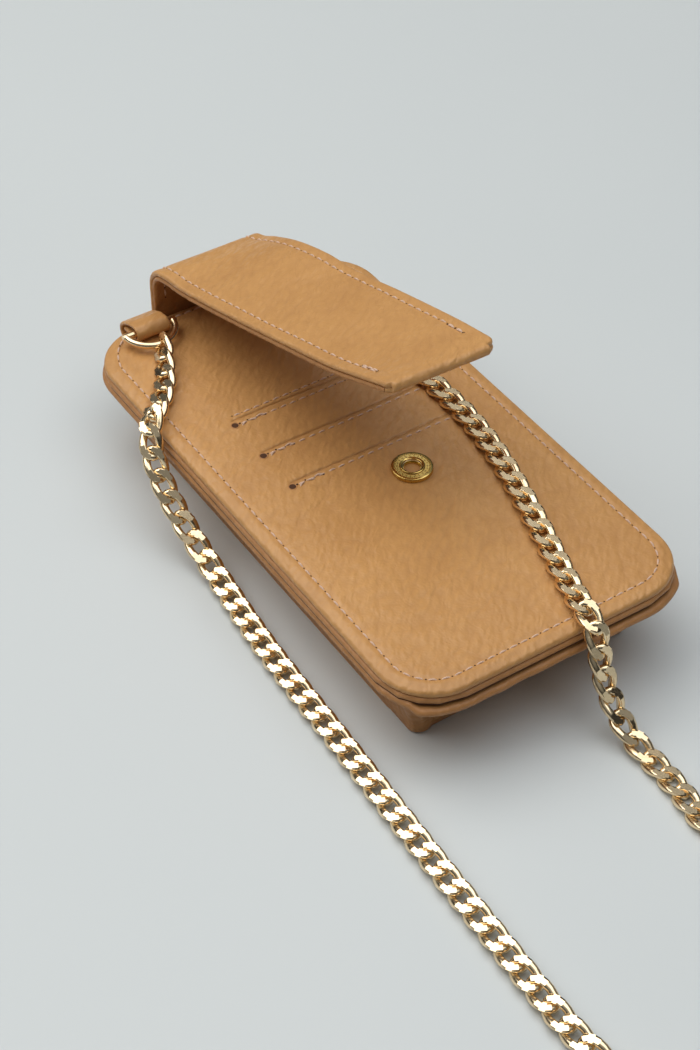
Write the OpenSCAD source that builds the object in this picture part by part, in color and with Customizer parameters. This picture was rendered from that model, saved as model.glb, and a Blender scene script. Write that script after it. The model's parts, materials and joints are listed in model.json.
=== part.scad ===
// Chain wallet: a long leather card and phone pouch with a snap flap, lying on its back,
// and a curb chain strap held by two rings.
// Millimetres. +X across the wallet, +Y towards the flap end, +Z up.
// The origin is on the resting face, below the middle of the front panel.

/* [Panel] */
// Width of the front panel
panel_w = 100; // [96:1:104]
// Length of the front panel
panel_l = 188; // [186:1:200]
// Corner radius of the front panel
corner_r = 18; // [18:0.5:20]
// Height of the front face above the resting face
face_z = 32; // [31:0.5:32]
// Thickness of one leather sheet
skin_t = 1.3; // [1.1:0.1:1.3]

/* [Card slots] */
// Length of each card slot
slot_w = 58.5; // [56:0.5:60]
// Places of the three slots along the wallet
slot_y = [35.2, 17.8, 1.2]; // [0:0.1:40]
// Depth of each card pocket
pocket_depth = 84; // [80:1:84]

/* [Pouch] */
// How far the bottom edge is pulled in from the panel's edge
tuck_in = 11; // [10:0.5:12]
// Width of the gusset's turned flange
flange_w = 9; // [8:0.5:9]

/* [Flap] */
// Thickness of the two-layer strap
strap_t = 3.6; // [3.2:0.1:3.6]
// Thickness of the strap's outer layer
outer_t = 1.9; // [1.7:0.1:1.9]
// Rise of the flap towards its tip when it lies at rest
flap_slope = 14.6; // [13:0.1:14.6]
// Length of the flap from its fold to its tip
flap_l = 124; // [122:1:126]

/* [Snap] */
// Radius of the snap's ring
snap_r = 6.5; // [6:0.1:7]
// Place of the snap on the front panel
snap_xy = [4.8, -13.3]; // [-20:0.1:20]

/* [Rings and chain] */
// Distance of each ring from the middle of the panel
ring_x = 29.9; // [29.9:0.1:31]
// Radius of the ring's arc, at the middle of its wire
ring_r = 8.5; // [8:0.1:8.5]
// Radius of the ring's wire
ring_wire_r = 1.1; // [1:0.05:1.1]
// Width of the chain
chain_w = 7.8; // [7:0.1:8]
// Thickness of the chain
chain_t = 3.5; // [3:0.1:3.5]

/* [Hidden] */
$fn = 48;
FAR = panel_l / 2;
SIDE = panel_w / 2;

// the layers below the front face, each with a turned edge
panel_t = 2.8;
lining_t = 2.2;
flange_t = 2.6;
hem_w = 11;
lining_z = face_z - panel_t - lining_t;
flange_z = lining_z - flange_t;
lining_inset = 0.6;
lining_skin = 1;
flange_inset = 1;

// the sheets at the bottom of the pouch
back_lining_z = 2 * skin_t;
back_lining_t = 1;
bottom_flange_w = 7;
mouth_turn = 51;
root_w = 66;
root_end = FAR - 1.5;

// the card pockets hang between the front panel and its lining
liner_w = 62;
liner_t = 0.3;
liner_gap = 0.05;
slot_h = 0.8;
liner_top = 3.5;

// the strap stands up behind the panel, folds over and runs back over the front
strap_y = FAR + 2.3;
base_hinge = [strap_y, 3.4];
fold_r = 3.1;
fold_mid_r = fold_r + strap_t / 2;
riser_turn = 90 - flap_slope;
fold_c = [strap_y - fold_mid_r, 44.9];
fold_hinge = [strap_y, fold_c[1] + fold_mid_r * tan(riser_turn / 2)];
riser_top = fold_hinge[1] - 4.6;
strap_x = [-23, 16.2];
tip_x = [-14.3, 23.8];
tip_y = -31;
root_y = 100;
snap_reach = 110.54;

// the stud hangs from a washer between the strap's two layers
layer_gap_z = strap_t / 2 - outer_t;
washer_r = 5;
washer_t = 0.3;
washer_z = layer_gap_z - washer_t - 0.02;
stud_r = 1.8;
stud_flange_z = -strap_t / 2 - 0.05;

// rings, tabs and the link that hangs in each ring
bar_y = FAR - 7.7;
bar_z = face_z + 3.4;
ring_tilt = 3;
tab_w = 13;
tab_r = 3;
tail_t = 0.7;
tail_l = 17;
link_l = 10;
link_w = 5.8;
link_wire = 1.5;
link_from_bar = 1.7;
link_z = bar_z - 0.2;
ring_front_y = bar_y - ring_r * cos(ring_tilt);

// the chain lies flat; its middle line runs through these points
chain_left_route = [
  [-33.9, 70, 34.8], [-36.3, 65.5, 34.4], [-39.2, 60.5, 34.3], [-42.8, 55.8, 34.3], [-46.8, 51.6, 34.5],
  [-50.7, 47.4, 34.5], [-53.9, 43.2, 32.6], [-55.8, 39, 28.6], [-56.4, 34.4, 23.4], [-56.2, 29, 17.6],
  [-55.4, 22.8, 11.8], [-54.6, 15.8, 6.8], [-54.3, 7.6, 3.4], [-54.8, -1.6, 2.1], [-56.1, -14, 2.1],
  [-57.4, -30, 2.1], [-58.2, -48, 2.1], [-58.8, -68, 2.1], [-59.6, -88, 2.1], [-60.4, -108, 2.1],
  [-61.1, -128, 2.1], [-61.6, -148, 2.1], [-62.1, -168, 2.1], [-62, -186, 2.1], [-59, -203, 2.1],
  [-51, -217, 2.1], [-41, -228, 2.1], [-34, -237, 2.1]
];
chain_right_route = [
  [30.2, 69.5, 34.8], [30.8, 60, 34.4], [31.4, 46, 34.3], [31.8, 30, 34.3], [32, 14, 34.3],
  [31.9, 0, 34.3], [30.7, -13, 34.3], [28.4, -26, 34.3], [25.2, -39, 34.3], [21.6, -52, 34.3],
  [17.7, -65, 34.3], [14, -77, 34.3], [11.2, -87.5, 34.5], [9.8, -93.8, 34.6], [9.1, -98, 32.4],
  [8.9, -100.3, 28], [9, -102.4, 22.4], [9.3, -105, 16.4], [9.8, -108.4, 10.8], [10.5, -113, 6],
  [11.1, -119.2, 3], [11.4, -127, 2.1], [11, -137, 2.1], [9.6, -148, 2.1], [10, -160, 2.1],
  [16, -172, 2.1], [27, -181, 2.3], [40, -191, 3.6], [50, -205, 5.3], [54, -222, 5.8], [54.4, -232, 5.8]
];
chain_sides = 10;
coil_c = [12, -242];
coil_r = 42;
coil_z = 7.6;

leather = [0.75, 0.56, 0.36];
leather_dark = [0.66, 0.47, 0.29];
liner_colour = [0.70, 0.54, 0.38];
gold = [0.87, 0.72, 0.42];
brass = [0.80, 0.66, 0.25];

// a flat sheet with round corners, centred on the panel
module sheet(inset, r, z, t) {
  w = panel_w - 2 * inset;
  l = panel_l - 2 * inset;
  translate([0, 0, z]) linear_extrude(t) round_rectangle(w, l, r);
}

module round_rectangle(w, l, r) {
  square([w - 2 * r, l], center = true);
  square([w, l - 2 * r], center = true);
  for (x = [-1, 1], y = [-1, 1]) translate([x * (w / 2 - r), y * (l / 2 - r)]) circle(r);
}

// a sheet of the back, which runs on past the corners to hold the strap's sewn end
module back_sheet(inset, r, z, t) {
  translate([0, 0, z]) linear_extrude(t) union() {
    round_rectangle(panel_w - 2 * inset, panel_l - 2 * inset, r);
    translate([-root_w / 2, 0]) square([root_w, root_end]);
  }
}

// a profile drawn in the lengthways plane, given a width across the wallet
module across(x0, x1) {
  translate([x0, 0, 0]) rotate([90, 0, 90]) linear_extrude(x1 - x0) children();
}

module front_panel() {
  color(leather) difference() {
    sheet(0, corner_r, face_z - panel_t, panel_t);
    translate([0, 0, -0.5]) sheet(hem_w, corner_r - hem_w, face_z - panel_t, panel_t - skin_t + 0.5);
    for (y = slot_y) translate([-slot_w / 2, y, face_z - 2]) cube([slot_w, slot_h, 3]);
    translate([snap_xy[0], snap_xy[1], face_z - 2]) cylinder(r = 3.05, h = 3);
  }
}

module front_lining() {
  color(leather_dark) difference() {
    sheet(lining_inset, corner_r - lining_inset, lining_z, lining_t);
    translate([0, 0, -0.5]) sheet(hem_w, corner_r - hem_w, lining_z, lining_t - lining_skin + 0.5);
    for (side = [-1, 1])
      translate([side * ring_x - tab_w / 2 - 0.2, FAR - tail_l - 0.5, lining_z + lining_t - tail_t - 0.1])
        cube([tab_w + 0.4, tail_l + 1, 2]);
  }
}

// pockets are stacked: the slot nearest the snap has the liner nearest the front
module card_pocket(level) {
  y = slot_y[level];
  depth = min(pocket_depth, y + liner_top + FAR - hem_w - 0.5);
  z = face_z - panel_t + liner_gap + level * (liner_t + liner_gap);
  color(liner_colour) translate([-liner_w / 2, y + liner_top - depth, z]) cube([liner_w, depth, liner_t]);
}

// the gusset's outline, as how far in from the panel's edge and how high
function wall_in(t) = 4 + (tuck_in - 4) * sin(90 * t);
function wall_points(shift, low, steps) =
  [for (i = [0:steps]) [wall_in(i / steps) + shift, flange_z + (low - flange_z) * i / steps]];
function reversed(list) = [for (i = [len(list) - 1:-1:0]) list[i]];
function gusset_outline() = concat(
  [[flange_inset + 0.5, lining_z], [flange_inset, lining_z - 0.6], [flange_inset, flange_z + 0.6],
   [flange_inset + 0.6, flange_z]],
  wall_points(0, skin_t, 7),
  [[tuck_in + bottom_flange_w, skin_t], [tuck_in + bottom_flange_w, 2 * skin_t]],
  reversed(wall_points(skin_t, 2 * skin_t, 7)),
  [[flange_inset + flange_w, flange_z], [flange_inset + flange_w, lining_z]]
);
module gusset_profile(edge) {
  polygon([for (p = gusset_outline()) [edge - p[0], p[1]]]);
}
module gusset() {
  straight = panel_l - 2 * corner_r;
  near = panel_w - 2 * corner_r;
  color(leather_dark) union() {
    for (side = [0, 1]) mirror([side, 0, 0]) {
      translate([0, straight / 2, 0]) rotate([90, 0, 0]) linear_extrude(straight) gusset_profile(SIDE);
      translate([SIDE - corner_r, FAR - corner_r, 0]) rotate_extrude(angle = mouth_turn) gusset_profile(corner_r);
      translate([SIDE - corner_r, corner_r - FAR, 0]) rotate([0, 0, -90])
        rotate_extrude(angle = 90) gusset_profile(corner_r);
    }
    translate([-near / 2, 0, 0]) rotate([90, 0, 90]) linear_extrude(near)
      mirror([1, 0]) gusset_profile(FAR);
  }
}

module back_panel() {
  color(leather) back_sheet(tuck_in, corner_r - tuck_in, 0, skin_t);
}

module back_lining() {
  inset = tuck_in + skin_t + 0.2;
  color(leather_dark) back_sheet(inset, corner_r - inset, back_lining_z, back_lining_t);
}

// the strap's sewn end, between the two sheets of the back
module flap_anchor() {
  color(leather_dark) translate([strap_x[0] + 0.4, FAR - 18, skin_t + 0.05])
    cube([strap_x[1] - strap_x[0] - 0.8, 17.6, skin_t - 0.1]);
}

module snap_socket() {
  color(brass) translate([snap_xy[0], snap_xy[1], face_z]) rotate_extrude() polygon([
    [3, 0], [snap_r - 0.4, 0], [snap_r, 0.4], [snap_r, 1.3], [snap_r - 0.5, 1.8], [snap_r - 1, 2.1],
    [4, 2.2], [3, 1.9], [3, 1.45], [3.4, 1.3], [3.4, 0.8], [3, 0.65]
  ]);
}

module snap_spring() {
  color(gold) translate([snap_xy[0], snap_xy[1], face_z + 1.05])
    rotate_extrude() translate([3, 0]) circle(0.22, $fn = 16);
}

module snap_eyelet() {
  color(brass) translate([snap_xy[0], snap_xy[1], face_z]) rotate_extrude() polygon([
    [2.5, -1.7], [5.2, -1.7], [5.2, -1.35], [2.95, -1.35], [2.95, 0.6], [2.5, 0.6]
  ]);
}

// the tab comes out of the far seam, wraps over the edge and holds the ring's bar
module tab_profile() {
  difference() {
    union() {
      translate([bar_y, bar_z]) circle(tab_r);
      translate([bar_y, bar_z - tab_r]) square([FAR + 0.3 - bar_y, 2 * 1.25]);
      intersection() {
        translate([FAR + 0.2, bar_z - tab_r - 1.2]) difference() {
          circle(3.7);
          circle(1.2);
        }
        translate([FAR + 0.2, bar_z - tab_r - 1.2]) square(4);
      }
      translate([FAR + 1.4, lining_z + lining_t - tail_t]) square([2.5, bar_z - tab_r - 1.2 - lining_z - lining_t + tail_t]);
      translate([FAR - tail_l, lining_z + lining_t - tail_t]) square([tail_l + 2, tail_t]);
    }
    translate([bar_y, bar_z]) circle(ring_wire_r + 0.08);
  }
}
module ring_tab(side) {
  color(leather) across(side * ring_x - tab_w / 2, side * ring_x + tab_w / 2) tab_profile();
}

// one layer of the standing part of the strap
module riser_layer(y, t) {
  translate([strap_x[0], y, base_hinge[1]]) cube([strap_x[1] - strap_x[0], t, riser_top - base_hinge[1]]);
}
module flap_riser_outer() {
  color(leather) riser_layer(strap_y + strap_t / 2 - outer_t, outer_t);
}
module flap_riser_lining() {
  color(leather_dark) riser_layer(strap_y - strap_t / 2, strap_t - outer_t);
}

// one layer of the fold and the flap beyond it, between two radii of the fold
module flap_layer(r0, r1, shorter) {
  reach = 2 * r1;
  intersection() {
    across(strap_x[0] - 5, tip_x[1] + 5) translate(fold_c) rotate(-flap_slope) {
      translate([shorter - flap_l, r0]) square([flap_l - shorter, r1 - r0]);
      intersection() {
        difference() {
          circle(r1);
          circle(r0);
        }
        polygon([[0, 0], [reach * cos(flap_slope), reach * sin(flap_slope)], [reach, reach], [0, reach]]);
      }
    }
    translate([0, 0, face_z + 2]) linear_extrude(80) polygon([
      [strap_x[0], root_y], [strap_x[1], root_y], [tip_x[1], tip_y + 6], [tip_x[1] - 2.5, tip_y],
      [tip_x[0] + 2, tip_y], [tip_x[0], tip_y + 5]
    ]);
  }
}
module flap_outer() {
  color(leather) flap_layer(fold_r + strap_t - outer_t, fold_r + strap_t, 0);
}

// places a piece on the flap: along it from the fold's hinge, below its middle
module on_flap(along) {
  translate([snap_xy[0], fold_hinge[0], fold_hinge[1]]) rotate([-flap_slope, 0, 0])
    translate([0, -along, 0]) children();
}
module flap_lining() {
  color(leather_dark) difference() {
    flap_layer(fold_r, fold_r + strap_t - outer_t, 0.4);
    on_flap(snap_reach) {
      translate([0, 0, washer_z - 0.03]) cylinder(r = washer_r + 0.2, h = 1);
      translate([0, 0, -3]) cylinder(r = stud_r + 0.1, h = 4);
    }
  }
}

module snap_stud() {
  color(brass) on_flap(snap_reach) rotate_extrude() polygon([
    [0, washer_z], [stud_r, washer_z], [stud_r, stud_flange_z], [3.2, stud_flange_z],
    [3.2, stud_flange_z - 0.3], [1.7, -2.3], [1.7, -3.1],
    [2.1, -3.4], [2.1, -3.9], [1.6, -4.4], [0, -4.4]
  ]);
}
module stud_washer() {
  color(brass) on_flap(snap_reach) translate([0, 0, washer_z]) cylinder(r = washer_r, h = washer_t);
}

module ring(side) {
  color(gold) translate([side * ring_x, bar_y, bar_z]) rotate([ring_tilt, 0, 0]) {
    rotate([0, 90, 0]) cylinder(r = ring_wire_r, h = 2 * (ring_r + ring_wire_r), center = true);
    rotate([0, 0, 180]) rotate_extrude(angle = 180) translate([ring_r, 0]) circle(ring_wire_r);
  }
}

// the first chain link hangs in the ring, standing on its edge, and points along the chain
module end_link(side, turn) {
  color(gold) translate([side * ring_x, ring_front_y, link_z]) rotate([0, 0, -turn])
    translate([0, -link_from_bar, 0]) rotate([0, 90, 0]) translate([0, 0, -link_wire / 2])
      linear_extrude(link_wire) difference() {
        link_outline(link_w, link_l);
        link_outline(link_w - 2 * link_wire, link_l - 2 * link_wire);
      }
}
module link_outline(w, l) {
  square([w, l - w], center = true);
  for (y = [-1, 1]) translate([0, y * (l - w) / 2]) circle(w / 2);
}

// a flat chain's outer shape, swept along its route
function unit(v) = v / norm(v);
function heading(route, i) = unit(route[min(i + 1, len(route) - 1)] - route[max(i - 1, 0)]);
function chain_ring(route, i) =
  let (along = heading(route, i), out = unit([along[1], -along[0], 0]), up = cross(out, along))
  [for (k = [0:chain_sides - 1])
    let (a = 360 * (k + 0.5) / chain_sides)
    route[i] + out * (chain_w / 2) * cos(a) + up * (chain_t / 2) * sin(a) / cos(180 / chain_sides)];
module chain_run(route) {
  n = len(route);
  rings = [for (i = [0:n - 1]) each chain_ring(route, i)];
  walls = [for (i = [0:n - 2], k = [0:chain_sides - 1])
    let (a = i * chain_sides + k, b = i * chain_sides + (k + 1) % chain_sides)
    [a, a + chain_sides, b + chain_sides, b]];
  first = [for (k = [0:chain_sides - 1]) k];
  last = [for (k = [chain_sides - 1:-1:0]) (n - 1) * chain_sides + k];
  color(gold) polyhedron(points = rings, faces = concat(walls, [first, last]));
}

// the stored length of chain lies in a round coil
module chain_coil() {
  color(gold) translate([coil_c[0], coil_c[1], 0]) rotate_extrude($fn = 96)
    translate([coil_r - chain_w / 2, 0]) square([chain_w, coil_z]);
}

front_panel();
front_lining();
card_pocket(0);  // card_pocket_upper
card_pocket(1);  // card_pocket_middle
card_pocket(2);  // card_pocket_lower
gusset();
back_panel();
back_lining();
flap_anchor();
snap_socket();
snap_spring();
snap_eyelet();
ring_tab(-1);  // ring_tab_left
ring_tab(1);  // ring_tab_right
flap_riser_outer();
flap_riser_lining();
flap_outer();
flap_lining();
snap_stud();
stud_washer();
ring(-1);  // ring_left
ring(1);  // ring_right
end_link(-1, 26);  // end_link_left
end_link(1, 0);  // end_link_right
chain_run(chain_left_route);  // chain_left
chain_run(chain_right_route);  // chain_right
chain_coil();
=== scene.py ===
"""A chain wallet in tan leather, finished around its CAD frame.

Lengths inside the classes are millimetres in the frame's own axes: X across the wallet, Y along it
towards the flap's fold, Z up. They become metres where a mesh or a curve is made.
"""

import json
import logging
import math
from collections.abc import Callable, Sequence
from dataclasses import dataclass, field
from enum import Enum
from typing import NamedTuple

import bmesh
import bpy
from mathutils import Matrix, Vector, noise

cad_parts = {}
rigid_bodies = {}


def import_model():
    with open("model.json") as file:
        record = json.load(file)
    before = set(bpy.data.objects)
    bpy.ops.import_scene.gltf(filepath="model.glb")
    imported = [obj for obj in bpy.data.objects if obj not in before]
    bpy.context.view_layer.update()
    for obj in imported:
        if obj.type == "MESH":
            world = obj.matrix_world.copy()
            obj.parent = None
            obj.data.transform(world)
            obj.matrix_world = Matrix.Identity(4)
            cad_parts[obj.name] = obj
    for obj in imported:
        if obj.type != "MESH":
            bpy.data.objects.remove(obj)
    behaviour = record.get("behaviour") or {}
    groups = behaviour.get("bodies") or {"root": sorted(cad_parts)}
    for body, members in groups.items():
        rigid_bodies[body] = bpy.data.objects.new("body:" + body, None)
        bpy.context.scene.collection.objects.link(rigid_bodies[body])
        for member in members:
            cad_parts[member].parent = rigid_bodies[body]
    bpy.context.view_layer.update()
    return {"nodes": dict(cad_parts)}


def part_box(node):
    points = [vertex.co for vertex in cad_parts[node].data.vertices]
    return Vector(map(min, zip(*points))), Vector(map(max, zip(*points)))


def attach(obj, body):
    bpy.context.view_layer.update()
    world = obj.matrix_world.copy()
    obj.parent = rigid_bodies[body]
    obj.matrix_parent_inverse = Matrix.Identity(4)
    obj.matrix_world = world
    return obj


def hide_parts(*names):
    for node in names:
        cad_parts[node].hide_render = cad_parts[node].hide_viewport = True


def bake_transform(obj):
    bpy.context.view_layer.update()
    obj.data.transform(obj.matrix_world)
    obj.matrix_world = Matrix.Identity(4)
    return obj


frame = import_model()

LOG = logging.getLogger("chain_wallet")
MM = 0.001

Point = tuple[float, float, float]
Colour = tuple[float, float, float]
Relief = Callable[[float, float], float]


class Slot(Enum):
    """The record's material slots."""

    LEATHER = "leather_outer"
    EDGE = "leather_edge"
    POCKET = "pocket_lining"
    BRASS = "snap_brass"
    SPRING = "spring_wire"
    GOLD = "gold_metal"
    THREAD = "thread"


class Side(Enum):
    """The two ends of the chain strap, as the sign of X."""

    LEFT = -1
    RIGHT = 1

    @property
    def word(self) -> str:
        """The side's name in lower case."""
        return self.name.lower()


def mix(a: float, b: float, t: float) -> float:
    """The value a share t of the way from a to b."""
    return a + (b - a) * t


def smooth(low: float, high: float, value: float) -> float:
    """0 below low, 1 above high, and an even S-curve between them."""
    t = min(1.0, max(0.0, (value - low) / (high - low)))
    return t * t * (3 - 2 * t)


def bell(offset: float, width: float) -> float:
    """A bell curve of height 1 at no offset."""
    return math.exp(-((offset / width) ** 2))


def through(knots: Sequence[tuple[float, float]], value: float) -> float:
    """Follow knots of (place, height), in rising order of place, on a smooth curve.

    Args:
        knots: The places and the heights there.
        value: The place asked for.

    Returns:
        The height at that place, held level beyond the ends.
    """
    if value <= knots[0][0]:
        return knots[0][1]
    last = len(knots) - 1
    for i in range(last):
        (x0, y0), (x1, y1) = knots[i], knots[i + 1]
        if value <= x1:
            size = x1 - x0
            rise = 0.0 if i == 0 else (y1 - knots[i - 1][1]) / (x1 - knots[i - 1][0]) * size
            following = 0.0 if i + 1 == last else (knots[i + 2][1] - y0) / (knots[i + 2][0] - x0) * size
            t = (value - x0) / size
            return (y0 + rise * t + (3 * (y1 - y0) - 2 * rise - following) * t * t
                    + (2 * (y0 - y1) + rise + following) * t ** 3)
    return knots[-1][1]


class Folds(NamedTuple):
    """A family of soft folds in leather: its height, the folds' width and length, and its seed."""

    height: float
    across: float
    along: float
    seed: float

    def at(self, x: float, y: float) -> float:
        """How far the folds lift the leather at a place."""
        return self.height * noise.noise(Vector((x / self.across, y / self.along, self.seed)))


def steps(low: float, high: float, size: float) -> list[float]:
    """Places from low to just short of high, about size apart."""
    count = max(1, round((high - low) / size))
    return [mix(low, high, i / count) for i in range(count)]


def grid_lines(marks: Sequence[float], size: float) -> list[float]:
    """Lines through every mark, with more between them.

    Args:
        marks: Places that need a line of their own.
        size: The spacing of the lines between the marks.

    Returns:
        The places of all lines, rising.
    """
    ordered = sorted(set(marks))
    lines = [p for low, high in zip(ordered, ordered[1:]) for p in steps(low, high, size)]
    return lines + [ordered[-1]]


# ---------------------------------------------------------------- meshes


def make_piece(name: str, points: Sequence[Point], faces: Sequence[Sequence[int]],
               finish: bpy.types.Material, crisp: float = 180.0) -> bpy.types.Object:
    """Make a closed mesh object at the origin.

    Args:
        name: The piece's name.
        points: Corners in millimetres.
        faces: Corner numbers of each face.
        finish: The material it wears.
        crisp: Edges sharper than this many degrees stay sharp.

    Returns:
        The new object, linked to the scene.
    """
    mesh = bpy.data.meshes.new(name)
    mesh.from_pydata([(x * MM, y * MM, z * MM) for x, y, z in points], [], [list(f) for f in faces])
    work = bmesh.new()
    work.from_mesh(mesh)
    bmesh.ops.remove_doubles(work, verts=work.verts, dist=1e-7)
    bmesh.ops.recalc_face_normals(work, faces=work.faces)
    for face in work.faces:
        face.smooth = True
    limit = math.radians(crisp)
    for edge in work.edges:
        edge.smooth = edge.calc_face_angle(0.0) < limit
    work.to_mesh(mesh)
    work.free()
    mesh.materials.append(finish)
    piece = bpy.data.objects.new(name, mesh)
    bpy.context.scene.collection.objects.link(piece)
    return piece


def place(piece: bpy.types.Object, body: str, slot: Slot, *stands_for: str) -> bpy.types.Object:
    """Tie a piece to its body and hide the CAD nodes that it stands for.

    Args:
        piece: The finished piece.
        body: The CAD body it moves with.
        slot: The material slot; not used.
        stands_for: CAD nodes that it hides.

    Returns:
        The same piece.
    """
    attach(piece, body)
    return dress(piece, slot, *stands_for)


def dress(piece: bpy.types.Object, slot: Slot, *stands_for: str) -> bpy.types.Object:
    """Hide the CAD nodes that a piece stands for, and report its faces."""
    if stands_for:
        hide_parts(*stands_for)
    LOG.info("%s: %d faces", piece.name, len(piece.data.polygons))
    return piece


def lathe(name: str, outline: Sequence[tuple[float, float]], centre: Point,
          finish: bpy.types.Material, turns: int = 72, crisp: float = 40.0) -> bpy.types.Object:
    """Turn a closed outline of (radius, height) about a vertical line.

    Args:
        name: The piece's name.
        outline: The section's corners.
        centre: The foot of the line that it turns about.
        finish: The material it wears.
        turns: How many sections make the circle.
        crisp: Edges sharper than this many degrees stay sharp.

    Returns:
        The new object.
    """
    points, faces, n = [], [], len(outline)
    for i in range(turns):
        a = 2 * math.pi * i / turns
        points += [(centre[0] + r * math.cos(a), centre[1] + r * math.sin(a), centre[2] + z)
                   for r, z in outline]
        j = (i + 1) % turns
        faces += [(i * n + k, j * n + k, j * n + (k + 1) % n, i * n + (k + 1) % n) for k in range(n)]
    return make_piece(name, points, faces, finish, crisp)


def bridge(rings: Sequence[Sequence[Point]], closed: bool = False) -> tuple[list[Point], list[list[int]]]:
    """Join rings of equally many points into a tube.

    Args:
        rings: Closed rings of points, in order along the tube.
        closed: True where the last ring joins the first, so that there are no ends to cap.

    Returns:
        The points and the faces.
    """
    n, count = len(rings[0]), len(rings)
    points = [p for ring in rings for p in ring]
    faces = []
    for i in range(count if closed else count - 1):
        a, b = i * n, ((i + 1) % count) * n
        faces += [[a + k, b + k, b + (k + 1) % n, a + (k + 1) % n] for k in range(n)]
    if not closed:
        half = n // 2
        for base in (0, (count - 1) * n):
            faces += [[base + k, base + k + 1, base + n - 2 - k, base + n - 1 - k] for k in range(half - 1)]
    return points, faces


# ---------------------------------------------------------------- repeated pieces


class Repeat:
    """A Geometry Nodes tree that sets one small piece evenly along a curve."""

    def __init__(self) -> None:
        """Build the tree once; every seam, bead row and chain run uses it."""
        tree = bpy.data.node_groups.new("set_along_curve", "GeometryNodeTree")
        self.tree = tree
        self.ids: dict[str, str] = {}
        for label, kind in (("Curve", "Geometry"), ("Piece", "Object"), ("Count", "Int"),
                            ("Jitter", "Float"), ("Seed", "Int"), ("Finish", "Material")):
            socket = tree.interface.new_socket(label, in_out="INPUT", socket_type="NodeSocket" + kind)
            self.ids[label] = socket.identifier
        tree.interface.new_socket("Geometry", in_out="OUTPUT", socket_type="NodeSocketGeometry")
        kinds = {"given": "NodeGroupInput", "result": "NodeGroupOutput",
                 "normal": "GeometryNodeSetCurveNormal", "spots": "GeometryNodeCurveToPoints",
                 "source": "GeometryNodeObjectInfo",
                 "low": "ShaderNodeMath", "chance": "FunctionNodeRandomValue",
                 "spin": "FunctionNodeEulerToRotation", "turn": "FunctionNodeRotateRotation",
                 "copies": "GeometryNodeInstanceOnPoints", "real": "GeometryNodeRealizeInstances",
                 "wear": "GeometryNodeSetMaterial"}
        nodes = {word: tree.nodes.new(kind) for word, kind in kinds.items()}
        nodes["normal"].mode, nodes["spots"].mode = "Z_UP", "COUNT"
        nodes["low"].operation = "MULTIPLY"
        nodes["low"].inputs[1].default_value = -1.0
        nodes["chance"].data_type = "FLOAT_VECTOR"
        nodes["turn"].rotation_space = "LOCAL"
        for source, out, target, into in (
                ("given", "Curve", "normal", "Curve"), ("normal", "Curve", "spots", "Curve"),
                ("given", "Count", "spots", "Count"), ("given", "Piece", "source", "Object"),
                ("given", "Jitter", "low", 0), ("low", 0, "chance", "Min"),
                ("given", "Jitter", "chance", "Max"), ("given", "Seed", "chance", "Seed"),
                ("chance", "Value", "spin", 0),
                ("spots", "Rotation", "turn", "Rotation"), ("spin", 0, "turn", "Rotate By"),
                ("spots", "Points", "copies", "Points"), ("source", "Geometry", "copies", "Instance"),
                ("turn", 0, "copies", "Rotation"), ("copies", 0, "real", 0), ("real", 0, "wear", "Geometry"),
                ("given", "Finish", "wear", "Material"), ("wear", 0, "result", 0)):
            tree.links.new(nodes[source].outputs[out], nodes[target].inputs[into])

    def along(self, name: str, piece: bpy.types.Object, finish: bpy.types.Material,
              runs: Sequence[tuple[Sequence[Point], int]], jitter: float = 0.0, seed: int = 1,
              rolls: Sequence[float] | None = None) -> bpy.types.Object:
        """Set copies of a piece along one or more runs and make them one mesh.

        Args:
            name: The new object's name.
            piece: What is repeated. Its Z runs along the curve and its X stays level.
            finish: The material of the copies.
            runs: Each run's points in millimetres, and how many copies it takes.
            jitter: The largest random turn about each axis, in radians.
            seed: The seed of the random turns.
            rolls: A roll about the curve for each point of the runs, in radians.

        Returns:
            A plain mesh object with no modifier.
        """
        meshes = []
        for number, (points, count) in enumerate(runs):
            curve = bpy.data.curves.new(name + "_path", "CURVE")
            curve.dimensions = "3D"
            spline = curve.splines.new("POLY")
            spline.points.add(len(points) - 1)
            for index, (spot, (x, y, z)) in enumerate(zip(spline.points, points)):
                spot.co = (x * MM, y * MM, z * MM, 1.0)
                if rolls:
                    spot.tilt = rolls[index]
            guide = bpy.data.objects.new(name + "_path", curve)
            bpy.context.scene.collection.objects.link(guide)
            modifier = guide.modifiers.new("repeat", "NODES")
            modifier.node_group = self.tree
            modifier[self.ids["Piece"]] = piece
            modifier[self.ids["Count"]] = count
            modifier[self.ids["Jitter"]] = jitter
            modifier[self.ids["Seed"]] = seed + number
            modifier[self.ids["Finish"]] = finish
            bpy.context.view_layer.update()
            graph = bpy.context.evaluated_depsgraph_get()
            meshes.append(bpy.data.meshes.new_from_object(guide.evaluated_get(graph), depsgraph=graph))
            guide.modifiers.remove(modifier)
            bpy.data.objects.remove(guide)
        return self.joined(name, meshes, finish)

    @staticmethod
    def joined(name: str, meshes: Sequence[bpy.types.Mesh],
               finish: bpy.types.Material) -> bpy.types.Object:
        """Put several plain meshes into one object."""
        work = bmesh.new()
        for mesh in meshes:
            work.from_mesh(mesh)
        for face in work.faces:
            face.material_index = 0
        result = bpy.data.meshes.new(name)
        work.to_mesh(result)
        work.free()
        result.materials.clear()
        result.materials.append(finish)
        piece = bpy.data.objects.new(name, result)
        bpy.context.scene.collection.objects.link(piece)
        return piece


# ---------------------------------------------------------------- finishes


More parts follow.
